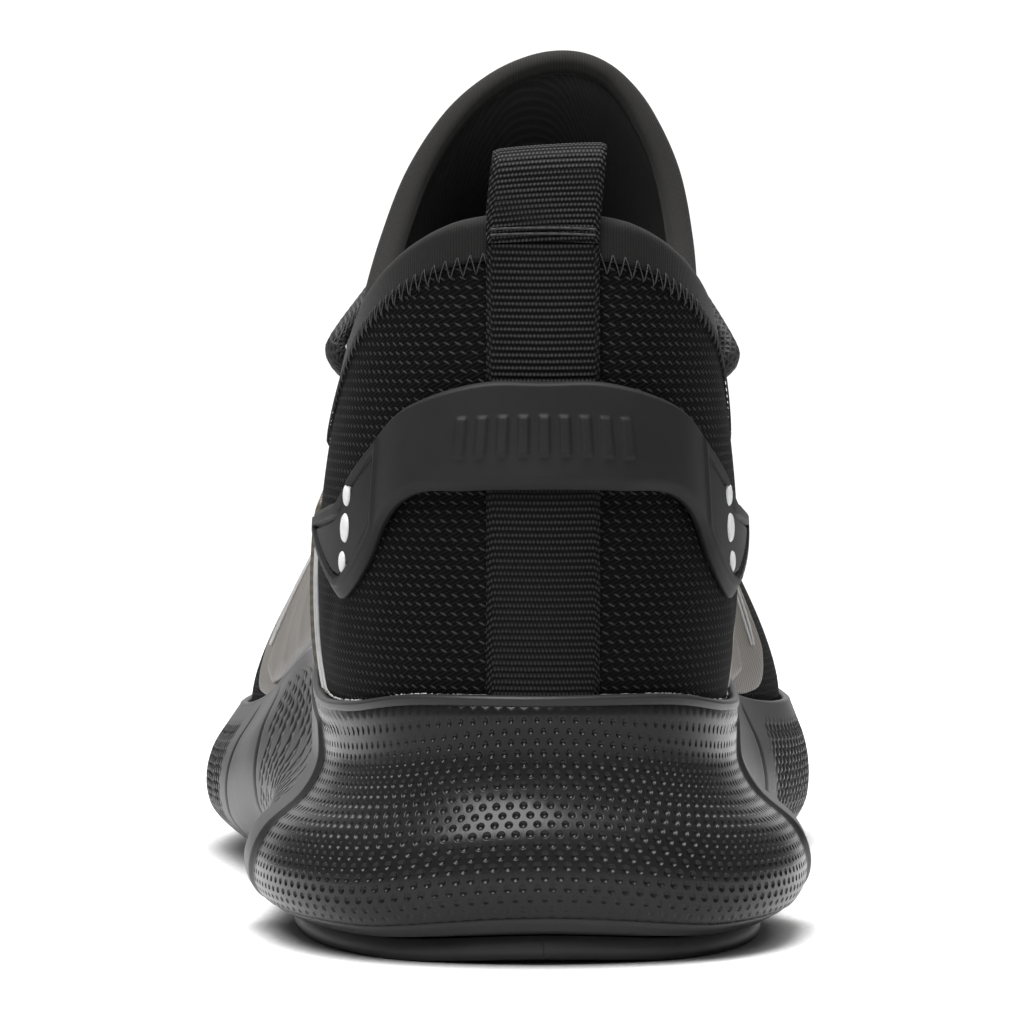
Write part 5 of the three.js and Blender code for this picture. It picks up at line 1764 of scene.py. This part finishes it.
# The whole lace as one closed line: the bottom bar, up through the loops and across, the top bar and back
def laceRoute():
    last = laceLook["pairs"] - 1
    cross = (laceLook["crossInset"], laceLook["crossRise"])
    top = (laceLook["barInset"], laceLook["barRise"])
    line, normals = [], []

    def strand(a, b, tilt, lift=0.0):
        over, ups = strandLine(a, b, tilt, lift)
        line.extend([a[0], *over, b[0]])
        normals.extend([ups[0], *ups, ups[0]])

    def through(pair, side):
        centre, _, _, out = eyeletAt(pair, side)
        line.append(centre + out * (size["gap"] + laceLook["thickness"] / 2 + size["gap"]))
        normals.append(out)

    def climb(side):
        for pair in range(last, 0, -1):
            through(pair, side)
            tilt = mix(laceLook["topTilt"], laceLook["bottomTilt"], (pair - 1) / last)
            a = mouthOf(pair, side, -1, *cross)
            b = mouthOf(pair - 1, -side, 1, *cross)
            yield a, b, tilt, side
            side = -side
        through(0, side)

    strand(mouthOf(last, -1, 1, *cross), mouthOf(last, 1, 1, *cross), laceLook["bottomTilt"])
    for a, b, tilt, side in climb(1):
        strand(a, b, tilt, laceLook["thickness"] / 2 if side > 0 else 0.0)
    firstSide = 1 if last % 2 == 0 else -1
    strand(mouthOf(0, firstSide, -1, *top), mouthOf(0, -firstSide, -1, *top), laceLook["barTilt"])
    upLine, upNormals = list(line), list(normals)
    line.clear()
    normals.clear()
    for a, b, tilt, side in climb(-1):
        strand(a, b, tilt, laceLook["thickness"] / 2 if side > 0 else 0.0)
    return np.array(upLine + line[::-1]), np.array(upNormals + normals[::-1])


# Points evenly spaced along a closed Catmull-Rom line through the route
def evenLine(route, normals, step):
    count = len(route)
    t = np.arange(count * 24) / 24
    i = np.floor(t).astype(int)
    f = (t - i)[:, None]

    def curve(rows):
        a, b, c, d = (rows[(i + k) % count] for k in (-1, 0, 1, 2))
        return b + 0.5 * f * (c - a + f * (2 * a - 5 * b + 4 * c - d + f * (3 * (b - c) + d - a)))

    fine, ups = curve(route), curve(normals)
    closed = np.concatenate([fine, fine[:1]])
    run = np.concatenate([[0], np.cumsum(np.linalg.norm(np.diff(closed, axis=0), axis=1))])
    s = np.arange(int(run[-1] / step)) * step
    at = np.interp(s, run, np.arange(len(run)))
    low = np.floor(at).astype(int) % len(fine)
    high = (low + 1) % len(fine)
    share = (at - np.floor(at))[:, None]
    return mix(fine[low], fine[high], share), unit(mix(ups[low], ups[high], share)), run[-1]


# Lace: one closed cord along the route, its surface a little raised where two strands of the braid cross
def buildLace():
    route, normals = laceRoute()
    line, ups, length = evenLine(route, normals, laceLook["step"])
    print("lace length", round(length), "mm")

    def woven(count, angle):
        turned = 2 * np.pi * np.arange(count)[:, None] * laceLook["step"] / laceLook["braidPitch"]
        return 1 + laceLook["braidRise"] * np.cos(turned + 3 * angle) * np.cos(turned - 3 * angle)

    made = cordSolid(
        "lace", line, ups, laceLook["width"], laceLook["thickness"], laceLook["sides"],
        finish["laceBraid"], True, woven,
    )
    crosses = [f"lace_cross_{i + 1}" for i in range(laceLook["pairs"] - 1)]
    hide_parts("lace_bar_bottom", "lace_bar_top", *crosses)


for pair in range(laceLook["pairs"]):
    buildLaceLoop(pair, 1)
    buildLaceLoop(pair, -1)
buildLace()
print("lacing made")

# Dried cement along the joint of mesh and sole: a thin broken bead round the heel

glueLook = {"reach": 0.30, "width": 0.5, "seed": 7, "steps": 900}


def buildGlue():
    q = np.linspace(-glueLook["reach"], glueLook["reach"], glueLook["steps"])
    turn = q / 2
    random = np.random.default_rng(glueLook["seed"])

    def running(width):  # the running mean of as many draws
        return np.convolve(random.random(len(q) + width - 1), np.ones(width) / width, "valid")

    bumps, fine, broad = running(9), running(4), running(45)
    broken = smooth((fine - 0.42) / 0.2) * smooth((broad - 0.47) / 0.05)
    broken = broken * (0.15 + 0.85 * smooth((np.abs(q) - 0.05) / 0.1))
    line = lastOutline(turn, size["cupGap"] * 0.5)
    line[:, 2] = rimHeight(turn) + 0.5 + 0.25 * bumps
    normals = np.tile([0.0, 0.0, 1.0], (len(q), 1))

    def lumps(count, angle):
        return (0.06 + broken[:, None]) * np.ones((count, len(angle)))

    wide = glueLook["width"]
    cordSolid("glueLine", line, normals, wide, wide, 6, finish["glue"], False, lumps)


buildGlue()
print("joint made")

# Floor, light and camera

studio = {
    "floor": ((-2.0, 2.0), (-1.5, 0.95)),  # from left to right, and from near to far
    "around": 1.12,  # brightness of the surroundings where they are white, and where they are dark
    "dark": 0.14,
    "cameraPlace": (-0.03446, -0.83425, 0.095),
    "cameraYaw": 2.143,  # degrees from +Y towards +X, then above the horizon
    "cameraPitch": -1.80,
    "lens": 180.35,
    "lights": [  # place, aim, size, power and whether it shows in gloss. The last two are for the floor.
        ((-0.12, -0.26, 1.0), (0, -0.05, 0.03), (0.6, 1.3), 29, True),
        ((0.0, 0.65, 1.4), (0, 0.65, 0.0), (2.6, 1.4), 36, False),
        ((0.0, -0.45, 2.2), (0, -0.45, 0.0), (1.2, 1.2), 28, False),
    ],
}


def buildFloor():
    mesh = bpy.data.meshes.new("floor")
    (left, right), (near, far) = studio["floor"]
    corners = [(left, near, 0), (right, near, 0), (right, far, 0), (left, far, 0)]
    mesh.from_pydata(corners, [], [(0, 1, 2, 3)])
    mesh.materials.append(finish["floor"])
    floor = bpy.data.objects.new("floor", mesh)
    bpy.context.scene.collection.objects.link(floor)


# Surroundings: white straight ahead of the camera and high overhead, and dark elsewhere
def buildWorld():
    world = bpy.data.worlds.new("studio")
    bpy.context.scene.world = world
    world.use_nodes = True
    tree = world.node_tree
    split = tree.nodes.new("ShaderNodeSeparateXYZ")
    tree.links.new(tree.nodes.new("ShaderNodeTexCoord").outputs["Generated"], split.inputs[0])
    away = calc(tree, "MULTIPLY_ADD", split.outputs[1], -9.0, 8.5, clamp=True)
    low = calc(tree, "MULTIPLY_ADD", split.outputs[2], -2.5, 2.0, clamp=True)
    aside = calc(tree, "MULTIPLY_ADD", calc(tree, "ABSOLUTE", split.outputs[0]), 5.0, -1.75, clamp=True)
    dark = calc(tree, "MULTIPLY", away, calc(tree, "MAXIMUM", low, aside))
    bright = calc(tree, "MULTIPLY_ADD", dark, studio["dark"] - studio["around"], studio["around"])
    background = tree.nodes["Background"]
    background.inputs[0].default_value = (1, 1, 1, 1)
    tree.links.new(bright, background.inputs[1])


def buildLights():
    for i, (at, aim, area, power, glossy) in enumerate(studio["lights"]):
        lamp = bpy.data.lights.new(f"softbox{i + 1}", "AREA")
        lamp.shape = "RECTANGLE"
        lamp.size, lamp.size_y = area
        lamp.energy = power
        holder = bpy.data.objects.new(lamp.name, lamp)
        holder.visible_glossy = glossy
        holder.location = at
        holder.rotation_euler = (Vector(aim) - Vector(at)).to_track_quat("-Z", "Y").to_euler()
        bpy.context.scene.collection.objects.link(holder)


def buildCamera():
    camera = bpy.data.cameras.new("camera")
    camera.lens = studio["lens"]
    camera.sensor_width = 36
    camera.clip_end = 50
    holder = bpy.data.objects.new("camera", camera)
    yaw, pitch = np.radians(studio["cameraYaw"]), np.radians(studio["cameraPitch"])
    aim = Vector((np.sin(yaw) * np.cos(pitch), np.cos(yaw) * np.cos(pitch), np.sin(pitch)))
    holder.location = studio["cameraPlace"]
    holder.rotation_euler = aim.to_track_quat("-Z", "Y").to_euler()
    bpy.context.scene.collection.objects.link(holder)
    bpy.context.scene.camera = holder
    bpy.context.scene.view_settings.view_transform = "Standard"


buildFloor()
buildWorld()
buildLights()
buildCamera()
print("stage made")
